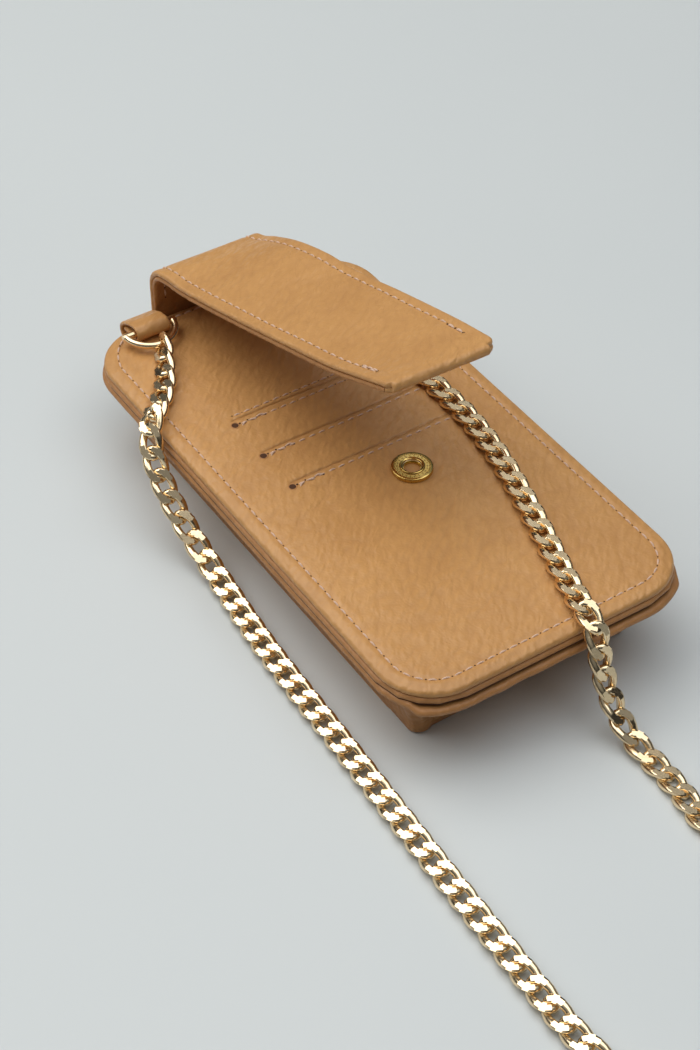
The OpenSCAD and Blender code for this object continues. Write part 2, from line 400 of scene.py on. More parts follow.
class Wiring:
    """Short calls for adding and joining shader nodes."""

    def __init__(self, tree: bpy.types.NodeTree) -> None:
        """Work on this node tree."""
        self.tree = tree

    def add(self, kind: str, values: dict | None = None, **settings: object) -> bpy.types.Node:
        """Add a node.

        Args:
            kind: The node's type without its ShaderNode prefix.
            values: For each input's name or number, a socket to join to it or a value to set.
            settings: The node's own options.

        Returns:
            The new node.
        """
        prefix = "" if kind.startswith("NodeGroup") else "ShaderNode"
        node = self.tree.nodes.new(prefix + kind)
        for key, option in settings.items():
            setattr(node, key, option)
        for key, value in (values or {}).items():
            if isinstance(value, bpy.types.NodeSocket):
                self.tree.links.new(value, node.inputs[key])
            else:
                node.inputs[key].default_value = value
        return node

    def maths(self, operation: str, a: object, b: object = 0.0) -> bpy.types.NodeSocket:
        """The result of a Math node on two sockets or numbers."""
        return self.add("Math", {0: a, 1: b}, operation=operation).outputs[0]

    def ramp(self, value: object, low: float, high: float, out_low: float = 0.0,
             out_high: float = 1.0) -> bpy.types.NodeSocket:
        """The result of a Map Range node."""
        given = {"Value": value, "From Min": low, "From Max": high, "To Min": out_low, "To Max": out_high}
        return self.add("MapRange", given).outputs["Result"]


def shader_group(name: str, numbers: Sequence[str], outputs: Sequence[str]) -> tuple[Wiring, object, object]:
    """Start a shader group that takes a vector and some numbers.

    Args:
        name: The group's name.
        numbers: Names of its number inputs.
        outputs: Names of its number outputs.

    Returns:
        The wiring, the group's input node and its output node.
    """
    tree = bpy.data.node_groups.new(name, "ShaderNodeTree")
    tree.interface.new_socket("Vector", in_out="INPUT", socket_type="NodeSocketVector")
    for label in numbers:
        tree.interface.new_socket(label, in_out="INPUT", socket_type="NodeSocketFloat")
    for label in outputs:
        tree.interface.new_socket(label, in_out="OUTPUT", socket_type="NodeSocketFloat")
    wiring = Wiring(tree)
    return wiring, wiring.add("NodeGroupInput"), wiring.add("NodeGroupOutput")


def grain_group() -> bpy.types.NodeTree:
    """Milled leather grain: soft slanting pebbles, the lines between them, pores and long creases."""
    slant, wander, pebble_shape, crease_shape = math.radians(-45.0), 0.0034, (0.42, 1.0, 0.8), (0.3, 1.0, 0.7)
    pebble_share, small_share, pore_share = 1.25, 0.25, 0.05
    wiring, given, result = shader_group("milled_grain", ["Scale", "Crease"], ["Height", "Valley"])
    vector, scale = given.outputs["Vector"], given.outputs["Scale"]
    drift = wiring.add("TexNoise", {"Vector": vector, "Scale": wiring.maths("MULTIPLY", scale, 0.22),
                                    "Detail": 2.0})
    shift = wiring.add("VectorMath", {0: drift.outputs["Color"], "Scale": wander}, operation="SCALE")
    moved = wiring.add("VectorMath", {0: vector, 1: shift.outputs[0]}, operation="ADD").outputs[0]
    turned = wiring.add("VectorRotate", {"Vector": moved, "Angle": slant}, rotation_type="Z_AXIS").outputs[0]
    drawn = wiring.add("VectorMath", {0: turned, 1: pebble_shape}, operation="MULTIPLY").outputs[0]
    pebble = wiring.add("TexVoronoi", {"Vector": drawn, "Scale": scale, "Smoothness": 0.6},
                        feature="SMOOTH_F1").outputs["Distance"]
    small = wiring.add("TexVoronoi", {"Vector": moved, "Scale": wiring.maths("MULTIPLY", scale, 1.9),
                                      "Smoothness": 0.7}, feature="SMOOTH_F1").outputs["Distance"]
    pores = wiring.add("TexNoise", {"Vector": vector, "Scale": wiring.maths("MULTIPLY", scale, 4.0),
                                    "Detail": 2.0}).outputs["Fac"]
    stretch = wiring.add("VectorMath", {0: turned, 1: crease_shape}, operation="MULTIPLY").outputs[0]
    folds = wiring.add("TexNoise", {"Vector": stretch, "Scale": wiring.maths("MULTIPLY", scale, 0.4),
                                    "Detail": 2.0, "Roughness": 0.5, "Distortion": 0.4}).outputs["Fac"]
    ridge = wiring.maths("ABSOLUTE", wiring.maths("SUBTRACT", folds, 0.5))
    where = wiring.add("TexNoise", {"Vector": vector, "Scale": 42.0, "Detail": 1.0}).outputs["Fac"]
    share = wiring.maths("MULTIPLY", wiring.ramp(where, 0.44, 0.62), given.outputs["Crease"])
    crease = wiring.maths("MULTIPLY", wiring.ramp(ridge, 0.0, 0.11, 1.0, 0.0), share)
    dips = wiring.maths("ADD", wiring.maths("MULTIPLY", pebble, pebble_share),
                        wiring.maths("MULTIPLY", small, small_share))
    bumps = wiring.maths("SUBTRACT", wiring.maths("MULTIPLY", pores, pore_share), dips)
    wiring.tree.links.new(wiring.maths("SUBTRACT", bumps, crease), result.inputs["Height"])
    wiring.tree.links.new(wiring.ramp(wiring.maths("ADD", dips, crease), 0.6, 1.4), result.inputs["Valley"])
    return wiring.tree


def tone_group() -> bpy.types.NodeTree:
    """Broad and fine patches of lighter and darker colour."""
    wiring, given, result = shader_group("patches", ["Scale"], ["Tone"])
    vector, scale = given.outputs["Vector"], given.outputs["Scale"]
    broad = wiring.add("TexNoise", {"Vector": vector, "Scale": scale, "Detail": 3.0}).outputs["Fac"]
    fine = wiring.add("TexNoise", {"Vector": vector, "Scale": wiring.maths("MULTIPLY", scale, 9.0),
                                   "Detail": 4.0}).outputs["Fac"]
    both = wiring.maths("ADD", wiring.maths("MULTIPLY", broad, 0.7), wiring.maths("MULTIPLY", fine, 0.3))
    wiring.tree.links.new(wiring.ramp(both, 0.32, 0.68), result.inputs["Tone"])
    return wiring.tree


@dataclass(frozen=True)
class LeatherFinish:
    """Dyed leather with a milled grain, and painted shade that darkens the grain's valleys and creases."""

    name: str
    pale: Colour
    deep: Colour
    grain: float = 560.0
    depth: float = 0.00042
    crease: float = 0.22
    rough: float = 0.37

    def build(self, grain: bpy.types.NodeTree, tone: bpy.types.NodeTree) -> bpy.types.Material:
        """Make the material.

        Args:
            grain: The milled grain group.
            tone: The patches group.

        Returns:
            The new material.
        """
        wiring, shader = new_material(self.name)
        place_of = wiring.add("TexCoord").outputs["Object"]
        skin = wiring.add("Group", node_tree=grain)
        skin.inputs["Scale"].default_value = self.grain
        skin.inputs["Crease"].default_value = self.crease
        patch = wiring.add("Group", node_tree=tone)
        patch.inputs["Scale"].default_value = 38.0
        for group in (skin, patch):
            wiring.tree.links.new(place_of, group.inputs["Vector"])
        shade = wiring.add("Mix", {0: patch.outputs["Tone"], 6: (*mixed(self.pale, self.deep, 0.3), 1.0),
                                   7: (*self.pale, 1.0)}, data_type="RGBA").outputs[2]
        # Painted shade: the colour darkens towards the deep tan in the grain's valleys and creases.
        wear_and_valley_shade = wiring.add("Mix", {0: wiring.maths("MULTIPLY", skin.outputs["Valley"], 0.22), 6: shade,
                                  7: (*self.deep, 1.0)}, data_type="RGBA").outputs[2]
        rough = wiring.ramp(skin.outputs["Valley"], 0.0, 1.0, self.rough, self.rough + 0.12)
        bump = wiring.add("Bump", {"Height": skin.outputs["Height"], "Strength": 0.68,
                                   "Distance": self.depth})
        for label, socket in (("Base Color", wear_and_valley_shade), ("Roughness", rough), ("Normal", bump.outputs[0])):
            wiring.tree.links.new(socket, shader.inputs[label])
        shader.inputs["Sheen Weight"].default_value = 0.02
        shader.inputs["Subsurface Weight"].default_value = 0.0
        shader.inputs["Specular IOR Level"].default_value = 0.42
        return bpy.data.materials[self.name]


@dataclass(frozen=True)
class MetalFinish:
    """Polished plating with faint handling marks."""

    name: str
    colour: Colour
    shadow: Colour
    rough: float = 0.17
    marks: float = 900.0

    def build(self, tone: bpy.types.NodeTree) -> bpy.types.Material:
        """Make the material from the patches group."""
        wiring, shader = new_material(self.name)
        place_of = wiring.add("TexCoord").outputs["Object"]
        patch = wiring.add("Group", {"Vector": place_of, "Scale": 160.0}, node_tree=tone)
        scratch = wiring.add("TexNoise", {"Vector": place_of, "Scale": self.marks, "Detail": 2.0})
        tint = wiring.add("Mix", {0: patch.outputs["Tone"], 6: (*self.shadow, 1.0),
                                  7: (*self.colour, 1.0)}, data_type="RGBA").outputs[2]
        rough = wiring.ramp(patch.outputs["Tone"], 0.0, 1.0, self.rough + 0.09, self.rough)
        bump = wiring.add("Bump", {"Height": scratch.outputs["Fac"], "Strength": 0.03, "Distance": 0.00005})
        for label, socket in (("Base Color", tint), ("Roughness", rough), ("Normal", bump.outputs[0])):
            wiring.tree.links.new(socket, shader.inputs[label])
        shader.inputs["Metallic"].default_value = 1.0
        return bpy.data.materials[self.name]


@dataclass(frozen=True)
class ThreadFinish:
    """Twisted thread, with the plies as slanting lines."""

    name: str
    pale: Colour
    deep: Colour
    plies: float = 2600.0

    def build(self) -> bpy.types.Material:
        """Make the material."""
        wiring, shader = new_material(self.name)
        place_of = wiring.add("TexCoord").outputs["Object"]
        ply = wiring.add("TexWave", {"Vector": place_of, "Scale": self.plies, "Distortion": 1.5},
                         bands_direction="DIAGONAL").outputs["Fac"]
        tint = wiring.add("Mix", {0: ply, 6: (*self.deep, 1.0), 7: (*self.pale, 1.0)},
                          data_type="RGBA").outputs[2]
        bump = wiring.add("Bump", {"Height": ply, "Strength": 0.5, "Distance": 0.0001})
        for label, socket in (("Base Color", tint), ("Normal", bump.outputs[0])):
            wiring.tree.links.new(socket, shader.inputs[label])
        shader.inputs["Roughness"].default_value = 0.72
        shader.inputs["Sheen Weight"].default_value = 0.15
        return bpy.data.materials[self.name]


def mixed(a: Colour, b: Colour, t: float) -> Colour:
    """The colour a share t of the way from a to b."""
    return tuple(mix(p, q, t) for p, q in zip(a, b))


def new_material(name: str) -> tuple[Wiring, bpy.types.Node]:
    """Start a node material with a Principled shader.

    Args:
        name: The material's name.

    Returns:
        Its wiring and its shader node.
    """
    material = bpy.data.materials.new(name)
    material.use_nodes = True
    return Wiring(material.node_tree), material.node_tree.nodes["Principled BSDF"]


@dataclass
class Finishes:
    """Every material of the wallet."""

    leather: bpy.types.Material = field(init=False)
    edge: bpy.types.Material = field(init=False)
    pocket: bpy.types.Material = field(init=False)
    hole: bpy.types.Material = field(init=False)
    gold: bpy.types.Material = field(init=False)
    brass: bpy.types.Material = field(init=False)
    spring: bpy.types.Material = field(init=False)
    thread: bpy.types.Material = field(init=False)

    def __post_init__(self) -> None:
        """Build the shared groups once, then each finish from them."""
        grain, tone = grain_group(), tone_group()
        tan, shade = (0.615, 0.322, 0.112), (0.30, 0.118, 0.03)
        self.leather = LeatherFinish("tan_leather", tan, shade).build(grain, tone)
        # The edges and linings wear a deeper, more saturated tan: partly the leather's own edge and lining
        # colour, partly painted shade for the linings and gusset that lie in shadow.
        self.edge = LeatherFinish("tan_leather_edges", (0.50, 0.235, 0.078), (0.23, 0.085, 0.022),
                                  grain=640.0, depth=0.00032, crease=0.2, rough=0.44).build(grain, tone)
        self.pocket = LeatherFinish("skived_pocket_leather", (0.40, 0.21, 0.095), (0.20, 0.09, 0.035),
                                    grain=1300.0, depth=0.00012, crease=0.1, rough=0.7).build(grain, tone)
        # Near-black leather: painted shade inside the needle holes, the punched holes and the grooves between
        # the layers.
        self.hole = LeatherFinish("needle_hole", (0.085, 0.032, 0.011), (0.04, 0.014, 0.005),
                                  grain=1600.0, depth=0.00008, crease=0.0, rough=0.8).build(grain, tone)
        self.gold = MetalFinish("pale_gold_plating", (0.93, 0.75, 0.49), (0.87, 0.66, 0.40)).build(tone)
        self.brass = MetalFinish("yellow_brass", (0.72, 0.52, 0.18), (0.55, 0.37, 0.10),
                                 rough=0.2).build(tone)
        self.spring = MetalFinish("spring_wire", (0.76, 0.66, 0.42), (0.62, 0.50, 0.30),
                                  rough=0.28).build(tone)
        self.thread = ThreadFinish("beige_thread", (0.86, 0.63, 0.48), (0.62, 0.39, 0.27)).build()


# ---------------------------------------------------------------- seams


class Sewing:
    """Stitches and needle holes, set by the repeating tree; the holes are dark dots of painted shade."""

    def __init__(self, repeat: Repeat, finishes: Finishes) -> None:
        """Make the one stitch and the one hole that every seam repeats."""
        self.repeat, self.finishes = repeat, finishes
        self.stitch = self._strand("stitch_seed", length=2.9, radius=0.33)
        self.hole = self._dot("hole_seed", radius=0.29)

    def _strand(self, name: str, length: float, radius: float) -> bpy.types.Object:
        """A short thread that dips into the leather at both ends."""
        rings, sides, stations, rise, sunk, thin, flattened = [], 6, 5, 0.42, 0.26, 0.55, 0.85
        for i in range(stations):
            t = i / (stations - 1)
            arch = math.sin(math.pi * t)
            thick = radius * (thin + (1 - thin) * arch)
            rings.append([(thick * math.cos(a), sunk - rise * arch + thick * math.sin(a) * flattened,
                           (t - 0.5) * length) for a in (2 * math.pi * k / sides for k in range(sides))])
        return make_piece(name, *bridge(rings), self.finishes.thread)

    def _dot(self, name: str, radius: float) -> bpy.types.Object:
        """A low dimple, as a flat closed lens, dark with painted shade inside the needle hole."""
        sides, rise, depth = 8, 0.05, 0.12
        rim = [(radius * math.cos(a), 0.0, radius * math.sin(a))
               for a in (2 * math.pi * k / sides for k in range(sides))]
        points = rim + [(0.0, -rise, 0.0), (0.0, depth, 0.0)]
        faces = [[k, (k + 1) % sides, sides] for k in range(sides)]
        faces += [[(k + 1) % sides, k, sides + 1] for k in range(sides)]
        return make_piece(name, points, faces, self.finishes.hole)

    def seam(self, name: str, runs: Sequence[Sequence[Point]], pitch: float, seed: int) -> list:
        """Sew along several runs of points.

        Args:
            name: The seam's name.
            runs: The points of each run, on the leather's surface.
            pitch: The distance from stitch to stitch.
            seed: The seed of the stitches' small turns.

        Returns:
            The stitches and the needle holes, as two objects.
        """
        threads, holes = [], []
        for run in runs:
            gaps = max(2, round(length_of(run) / pitch))
            half = 0.5 / gaps
            threads.append((part_of(run, half, 1.0 - half), gaps))
            holes.append((run, gaps + 1))
        return [self.repeat.along(name + "_thread", self.stitch, self.finishes.thread, threads,
                                  jitter=0.055, seed=seed),
                self.repeat.along(name + "_holes", self.hole, self.finishes.hole, holes, seed=seed)]

    def place(self, pieces: Sequence[bpy.types.Object], body: str) -> None:
        """Tie a seam's stitches and holes to a body."""
        for piece, slot in zip(pieces, (Slot.THREAD, Slot.EDGE)):
            place(piece, body, slot)

    def finish(self) -> None:
        """Remove the two seeds once every seam is sewn."""
        for seed in (self.stitch, self.hole):
            bpy.data.objects.remove(seed)


def length_of(run: Sequence[Point]) -> float:
    """The length of a run of points."""
    return sum(math.dist(a, b) for a, b in zip(run, run[1:]))


def part_of(run: Sequence[Point], start: float, end: float, spacing: float = 0.8) -> list[Point]:
    """The stretch of a run between two shares of its length, with even spacing."""
    total = length_of(run)
    count = max(2, round((end - start) * total / spacing) + 1)
    wanted = [mix(start, end, i / (count - 1)) * total for i in range(count)]
    result, walked, leg = [], 0.0, 0
    for distance in wanted:
        while leg < len(run) - 2 and walked + math.dist(run[leg], run[leg + 1]) < distance:
            walked += math.dist(run[leg], run[leg + 1])
            leg += 1
        size = math.dist(run[leg], run[leg + 1]) or 1.0
        t = min(1.0, (distance - walked) / size)
        result.append(tuple(mix(a, b, t) for a, b in zip(run[leg], run[leg + 1])))
    return result


# ---------------------------------------------------------------- the pouch


class RimPoint(NamedTuple):
    """A point of a field's edge: its grid line numbers, its core point and the way out from there."""

    column: int
    row: int
    core_x: float
    core_y: float
    out_x: float
    out_y: float

    def at(self, reach: float) -> tuple[float, float]:
        """The point this far out from the core point."""
        return self.core_x + self.out_x * reach, self.core_y + self.out_y * reach


@dataclass
class Outline:
    """The panel's round-cornered outline, seen from above."""

    half_width: float = 50.0
    half_length: float = 94.0
    corner: float = 18.0
    border: float = 11.0

    @property
    def core(self) -> tuple[float, float]:
        """The half sizes of the rectangle between the corners' centres."""
        return self.half_width - self.corner, self.half_length - self.corner

    def inset(self, x: float, y: float) -> float:
        """How far a point lies inside the edge."""
        qx, qy = abs(x) - self.core[0], abs(y) - self.core[1]
        return self.corner - math.hypot(max(qx, 0.0), max(qy, 0.0)) - min(max(qx, qy), 0.0)

    def lines(self, size: float, marks_x: Sequence[float] = (),
              marks_y: Sequence[float] = ()) -> tuple[list[float], list[float]]:
        """Grid lines for the field inside the border."""
        cx, cy = self.core
        wide, long = self.half_width - self.border, self.half_length - self.border
        return (grid_lines([-wide, -cx, cx, wide, *marks_x], size),
                grid_lines([-long, -cy, cy, long, *marks_y], size))

    def rim(self, xs: Sequence[float], ys: Sequence[float]) -> list[RimPoint]:
        """The field's edge points in turn, each with the core point and the way out from it."""
        last_x, last_y = len(xs) - 1, len(ys) - 1
        order = [(i, 0) for i in range(last_x)] + [(last_x, j) for j in range(last_y)]
        order += [(i, last_y) for i in range(last_x, 0, -1)] + [(0, j) for j in range(last_y, 0, -1)]
        result = []
        for i, j in order:
            cx = min(self.core[0], max(-self.core[0], xs[i]))
            cy = min(self.core[1], max(-self.core[1], ys[j]))
            nx, ny = xs[i] - cx, ys[j] - cy
            size = math.hypot(nx, ny)
            result.append(RimPoint(i, j, cx, cy, nx / size, ny / size))
        return result

    def loop(self, inset: float, spacing: float = 2.0) -> list[tuple[float, float]]:
        """The outline drawn in by an inset, as points from the far middle round to it again."""
        cx, cy = self.core
        radius = self.corner - inset
        points: list[tuple[float, float]] = []
        for quarter, (sx, sy) in enumerate(((-1, 1), (-1, -1), (1, -1), (1, 1))):
            start = math.pi / 2 * (quarter + 1)
            count = max(6, round(radius * math.pi / 2 / spacing))
            points += [(sx * cx + radius * math.cos(start + math.pi / 2 * k / count),
                        sy * cy + radius * math.sin(start + math.pi / 2 * k / count))
                       for k in range(count + 1)]
        points = [(0.0, points[0][1])] + points + [(0.0, points[0][1])]
        return [p[:2] for p in part_of([(x, y, 0.0) for x, y in points], 0.0, 1.0, spacing)]


@dataclass
class Sheet:
    """A leather sheet with a rounded, turned edge and a thinner middle."""

    outline: Outline
    top: float
    thick: float
    inset: float = 0.0
    skin: float = 1.3
    size: float = 3.0
    edge_steps: int = 8
    relief: Relief = lambda x, y: 0.0
    marks_x: Sequence[float] = ()
    marks_y: Sequence[float] = ()

    def build(self, name: str, finish: bpy.types.Material) -> bpy.types.Object:
        """Make the sheet as one closed shell.

        Args:
            name: The piece's name.
            finish: The material it wears.

        Returns:
            The new object.
        """
        outline, radius = self.outline, self.thick / 2
        xs, ys = outline.lines(self.size, self.marks_x, self.marks_y)
        rim = outline.rim(xs, ys)
        points: list[Point] = []
        faces: list[list[int]] = []

        def field_of(under: bool) -> int:
            """Add the field's grid, on the face or under the skin."""
            first = len(points)
            for y in ys:
                for x in xs:
                    z = self.top + self.relief(x, y)
                    floor = self.top - self.thick + 0.05
                    points.append((x, y, max(floor, min(z - 0.35, self.top - self.skin)) if under else z))
            for j in range(len(ys) - 1):
                for i in range(len(xs) - 1):
                    a = first + j * len(xs) + i
                    faces.append([a, a + 1, a + 1 + len(xs), a + len(xs)])
            return first

        def ring_of(entries: list[Point]) -> list[int]:
            """Add one ring of points round the field."""
            first = len(points)
            points.extend(entries)
            return list(range(first, first + len(entries)))

        def join(a: list[int], b: list[int]) -> None:
            """Join two rings with faces."""
            n = len(a)
            faces.extend([a[k], a[(k + 1) % n], b[(k + 1) % n], b[k]] for k in range(n))

        def out(entry: RimPoint, inset: float) -> tuple[float, float]:
            """The rim entry's point at an inset from the edge."""
            return entry.at(outline.corner - inset)

        upper = field_of(under=False)
        ring = [upper + entry.row * len(xs) + entry.column for entry in rim]
        border_steps = max(3, round(outline.border / self.size * 1.2))
        for step in range(1, border_steps + 1):
            t = step / border_steps
            entries = []
            for entry in rim:
                ox, oy = out(entry, self.inset + radius)
                x, y = mix(xs[entry.column], ox, t), mix(ys[entry.row], oy, t)
                entries.append((x, y, self.top + self.relief(x, y)))
            following = ring_of(entries)
            join(ring, following)
            ring = following
        tops = [points[k] for k in ring]
        for step in range(1, self.edge_steps + 1):
            a = math.pi * step / self.edge_steps
            entries = []
            for entry, above in zip(rim, tops):
                x, y = out(entry, self.inset + radius * (1 - math.sin(a)))
                entries.append((x, y, above[2] - radius * (1 - math.cos(a))))
            following = ring_of(entries)
            join(ring, following)
            ring = following
        hem = ring_of([(*out(e, outline.border - 0.4), self.top - self.thick) for e in rim])
        join(ring, hem)
        lower = field_of(under=True)
        join(hem, [lower + entry.row * len(xs) + entry.column for entry in rim])
        return make_piece(name, points, faces, finish)


class WallStation(NamedTuple):
    """A cross-section of the gusset: its core point, the way out, and 0 on a long side to 1 on the near."""

    core_x: float
    core_y: float
    out_x: float
    out_y: float
    near: float

    def at(self, reach: float) -> tuple[float, float]:
        """The point this far out from the core point."""
        return self.core_x + self.out_x * reach, self.core_y + self.out_y * reach

    def wave(self, folds: Folds, spread: float, shift: float = 0.0) -> float:
        """The folds here, read off a line that runs this far out from the core."""
        return folds.at(self.core_x + self.out_x * spread, self.core_y + self.out_y * spread + shift)


@dataclass(frozen=True)
class FaceRelief:
    """Heights, depths and widths of what the front's leather does between its edges."""

    crown: float = 0.34
    crown_inset: tuple[float, float] = (2.0, 26.0)
    edge_fall: float = 0.55
    edge_inset: tuple[float, float] = (4.2, 0.6)
    swell: Folds = Folds(0.30, 26.0, 34.0, 1.7)
    ripples: Folds = Folds(0.10, 15.0, 5.0, 4.1)
    ripple_slant: float = 0.35
    ripple_region: tuple[float, float] = (12.0, -30.0)
    dimples: Folds = Folds(0.055, 4.0, 7.5, 8.3)
    worn_patches: Folds = Folds(1.0, 23.0, 23.0, 31.0)
    worn_region: tuple[float, float] = (6.0, -26.0)
    crease_lines: Folds = Folds(1.0, 7.5, 26.0, 27.0)
    crease_depth: float = 0.16
    crease_width: float = 0.13
    groove_depth: float = 0.34
    groove_width: float = 0.85
    rim_rise: float = 0.12
    rim_inset: float = 2.9
    rim_width: float = 1.2
    pucker: float = 0.05
    pucker_pitch: float = 3.8
    seam_depth: float = 0.22
    seam_width: float = 0.6
    seam_span: tuple[float, float, float, float] = (-28.2, -27.0, 29.2, 31.0)
    lip_rise: float = 0.15
    lip_width: float = 0.9
    slot_depth: float = 0.3
    slot_opening: float = 1.5
    snap_seat: float = 0.32
    snap_seat_radius: tuple[float, float] = (11.5, 6.6)


@dataclass
class Pouch:
    """The body of the wallet: its face, layers, gusset, back and card pockets."""

    finishes: Finishes
    sewing: Sewing
    outline: Outline = field(default_factory=Outline)
    relief: FaceRelief = FaceRelief()
    face_z: float = 32.0
    panel_thick: float = 2.8
    lining_thick: float = 2.2
    flange_thick: float = 2.6
    slot_half: float = 29.25
    slot_gap: float = 0.34
    slots: tuple[float, ...] = (35.2, 17.8, 1.2)
    seams: tuple[float, ...] = (37.4, 33.0, 16.3, -0.4)
    seam_start: float = -29.8
    seam_end: float = 28.5
    border_seam: float = 4.75
    snap: tuple[float, float] = (4.8, -13.3)
    mouth_turn: float = 51.0
    mouth_steps: int = 16
    corner_steps: int = 36
    wall_steps: int = 12
    wall_thick: float = 1.35
    lip_drop: float = 1.1
    flange_proud: float = 0.8
    tuck_sides: float = 11.0
    tuck_near: float = 15.2
    tuck_depth: float = 1.9
    pleat_depth: float = 1.3
    sagging: Folds = Folds(0.7, 24.0, 24.0, 2.0)
    rippling: Folds = Folds(0.9, 8.0, 8.0, 5.0)
    back_half: float = 85.5
    back_shift: float = 7.0

    def face(self, x: float, y: float) -> float:
        """The front's height above its nominal plane."""
        relief = self.relief
        edge = self.outline.inset(x, y)
        inner = smooth(*relief.crown_inset, edge)
        away = math.hypot(x - self.snap[0], y - self.snap[1])
        return (relief.crown * inner - relief.edge_fall * smooth(*relief.edge_inset, edge)
                + inner * self._creasing(x, y) + self._border_groove(x + y, edge) + self._slot_relief(x, y)
                - relief.snap_seat * smooth(*relief.snap_seat_radius, away))

    def _creasing(self, x: float, y: float) -> float:
        """The soft swells, ripples, dimples and creases of the milled leather."""
        relief = self.relief
        z = relief.swell.at(x, y) + relief.dimples.at(x - 0.5 * y, y)
        z += relief.ripples.at(x, y + relief.ripple_slant * x) * smooth(*relief.ripple_region, y * 0.4 + x)
        wear_and_valley_shade = smooth(-0.1, 0.35, relief.worn_patches.at(x, y)) * smooth(*relief.worn_region, x + 0.25 * y)
        crease = bell(relief.crease_lines.at(x - y, x + y), relief.crease_width)
        return z - relief.crease_depth * wear_and_valley_shade * crease

    def _border_groove(self, around: float, edge: float) -> float:
        """The groove of the border seam, the roll outside it and the puckers inside it."""
        relief = self.relief
        pucker = relief.pucker * math.sin(2 * math.pi * around / relief.pucker_pitch)
        return (relief.rim_rise * bell(edge - relief.rim_inset, relief.rim_width)
                - relief.groove_depth * bell(edge - self.border_seam, relief.groove_width)
                + pucker * bell(edge - self.border_seam - 1.3, 1.1))

    def _slot_relief(self, x: float, y: float) -> float:
        """The cross seams' grooves, and each slot's raised lip and its opening."""
        relief, half = self.relief, self.slot_half
        left, sewn_left, sewn_right, right = relief.seam_span
        across = smooth(left, sewn_left, x) * smooth(right, sewn_right, x)
        z = -relief.seam_depth * across * sum(bell(y - seam, relief.seam_width) for seam in self.seams)
        lip = relief.lip_rise * smooth(-half - 1.0, -half + 7.0, x) * smooth(half + 2.0, half, x)
        for slot in self.slots:
            z += lip * bell(y - slot + 0.6, relief.lip_width)
            if slot <= y <= slot + self.slot_gap and abs(x) <= half:
                z -= relief.slot_depth + relief.slot_opening * smooth(-half, -half + 9.0, x)
        return z

    def build(self) -> None:
        """Make every static leather piece."""
        self._layers()
        self._groove_shade_strips()
        self._gusset()
        self._pockets()
        self._border()
        self._cross_seams()

    def _layers(self) -> None:
        """The face, its lining layer and the two sheets of the back."""
        marks_y = [y + d for y in self.slots for d in (-0.12, 0.0, self.slot_gap, self.slot_gap + 0.12)]
        marks_x = [s * (self.slot_half + d) for s in (-1, 1) for d in (0.0, 0.12)]
        front = Sheet(self.outline, self.face_z, self.panel_thick, size=0.95, relief=self.face,
                      marks_x=marks_x, marks_y=marks_y)
        place(front.build("front_face", self.finishes.leather), "pouch", Slot.LEATHER, "front_panel")

        uneven, slack = Folds(0.10, 17.0, 17.0, 11.0), Folds(0.08, 21.0, 21.0, 3.0)

        def lining_wave(x: float, y: float) -> float:
            """A little unevenness in the lining's turned edge."""
            return uneven.at(x, y) - 0.06

        lining = Sheet(self.outline, self.face_z - self.panel_thick, self.lining_thick, inset=-0.55,
                       skin=1.0, relief=lining_wave)
        place(lining.build("lining_layer", self.finishes.edge), "pouch", Slot.EDGE, "front_lining")

        for name, half, corner, top, thick, finish, slot, node in (
                ("back_face", 39.0, 13.0, 1.3, 1.3, self.finishes.leather, Slot.LEATHER, "back_panel"),
                ("back_inner_sheet", 37.4, 12.0, 3.6, 1.0, self.finishes.edge, Slot.EDGE, "back_lining")):
            outline = Outline(half, self.back_half - (39.0 - half), corner, border=4.0)
            sheet = Sheet(outline, top, thick, skin=thick - 0.1, relief=slack.at)
            piece = shifted(sheet.build(name, finish), (0.0, self.back_shift, 0.0))
            place(piece, "pouch", slot, node)

    def _groove_shade_strips(self) -> None:
        """Dark strips of painted shade in the grooves between the layers of the edge."""
        xs, ys = self.outline.lines(3.0)
        under_face = self.face_z - self.panel_thick
        under_lining = under_face - self.lining_thick
        half, deep = 0.22, 2.0
        section = ((0.0, -half), (0.0, half), (deep, half), (deep, -half))
        for number, (inset, z) in enumerate(((0.4, under_face + 0.17), (-0.2, under_lining + 0.05)), start=1):
            reach = self.outline.corner - inset
            rings = [[(*point.at(reach - deeper), z + rise) for deeper, rise in section]
                     for point in self.outline.rim(xs, ys)]
            piece = make_piece(f"glue_line_{number}", *bridge(rings, closed=True), self.finishes.hole, 50.0)
            place(piece, "pouch", Slot.EDGE)

    def _gusset(self) -> None:
        """The folded wall from the mouth round three sides, with tucks at the near corners."""
        cx, cy = self.outline.core
        turn, quarter = math.radians(self.mouth_turn), math.pi / 2
        stations: list[WallStation] = []

        def arc(x: float, y: float, angles: tuple[float, float], count: int, near: Sequence[float]) -> None:
            """Add stations round a corner, between two angles, with the near side's share going as given."""
            for k in range(count):
                t = k / count
                a = mix(*angles, t)
                stations.append(WallStation(x, y, math.cos(a), math.sin(a), mix(*near, t)))

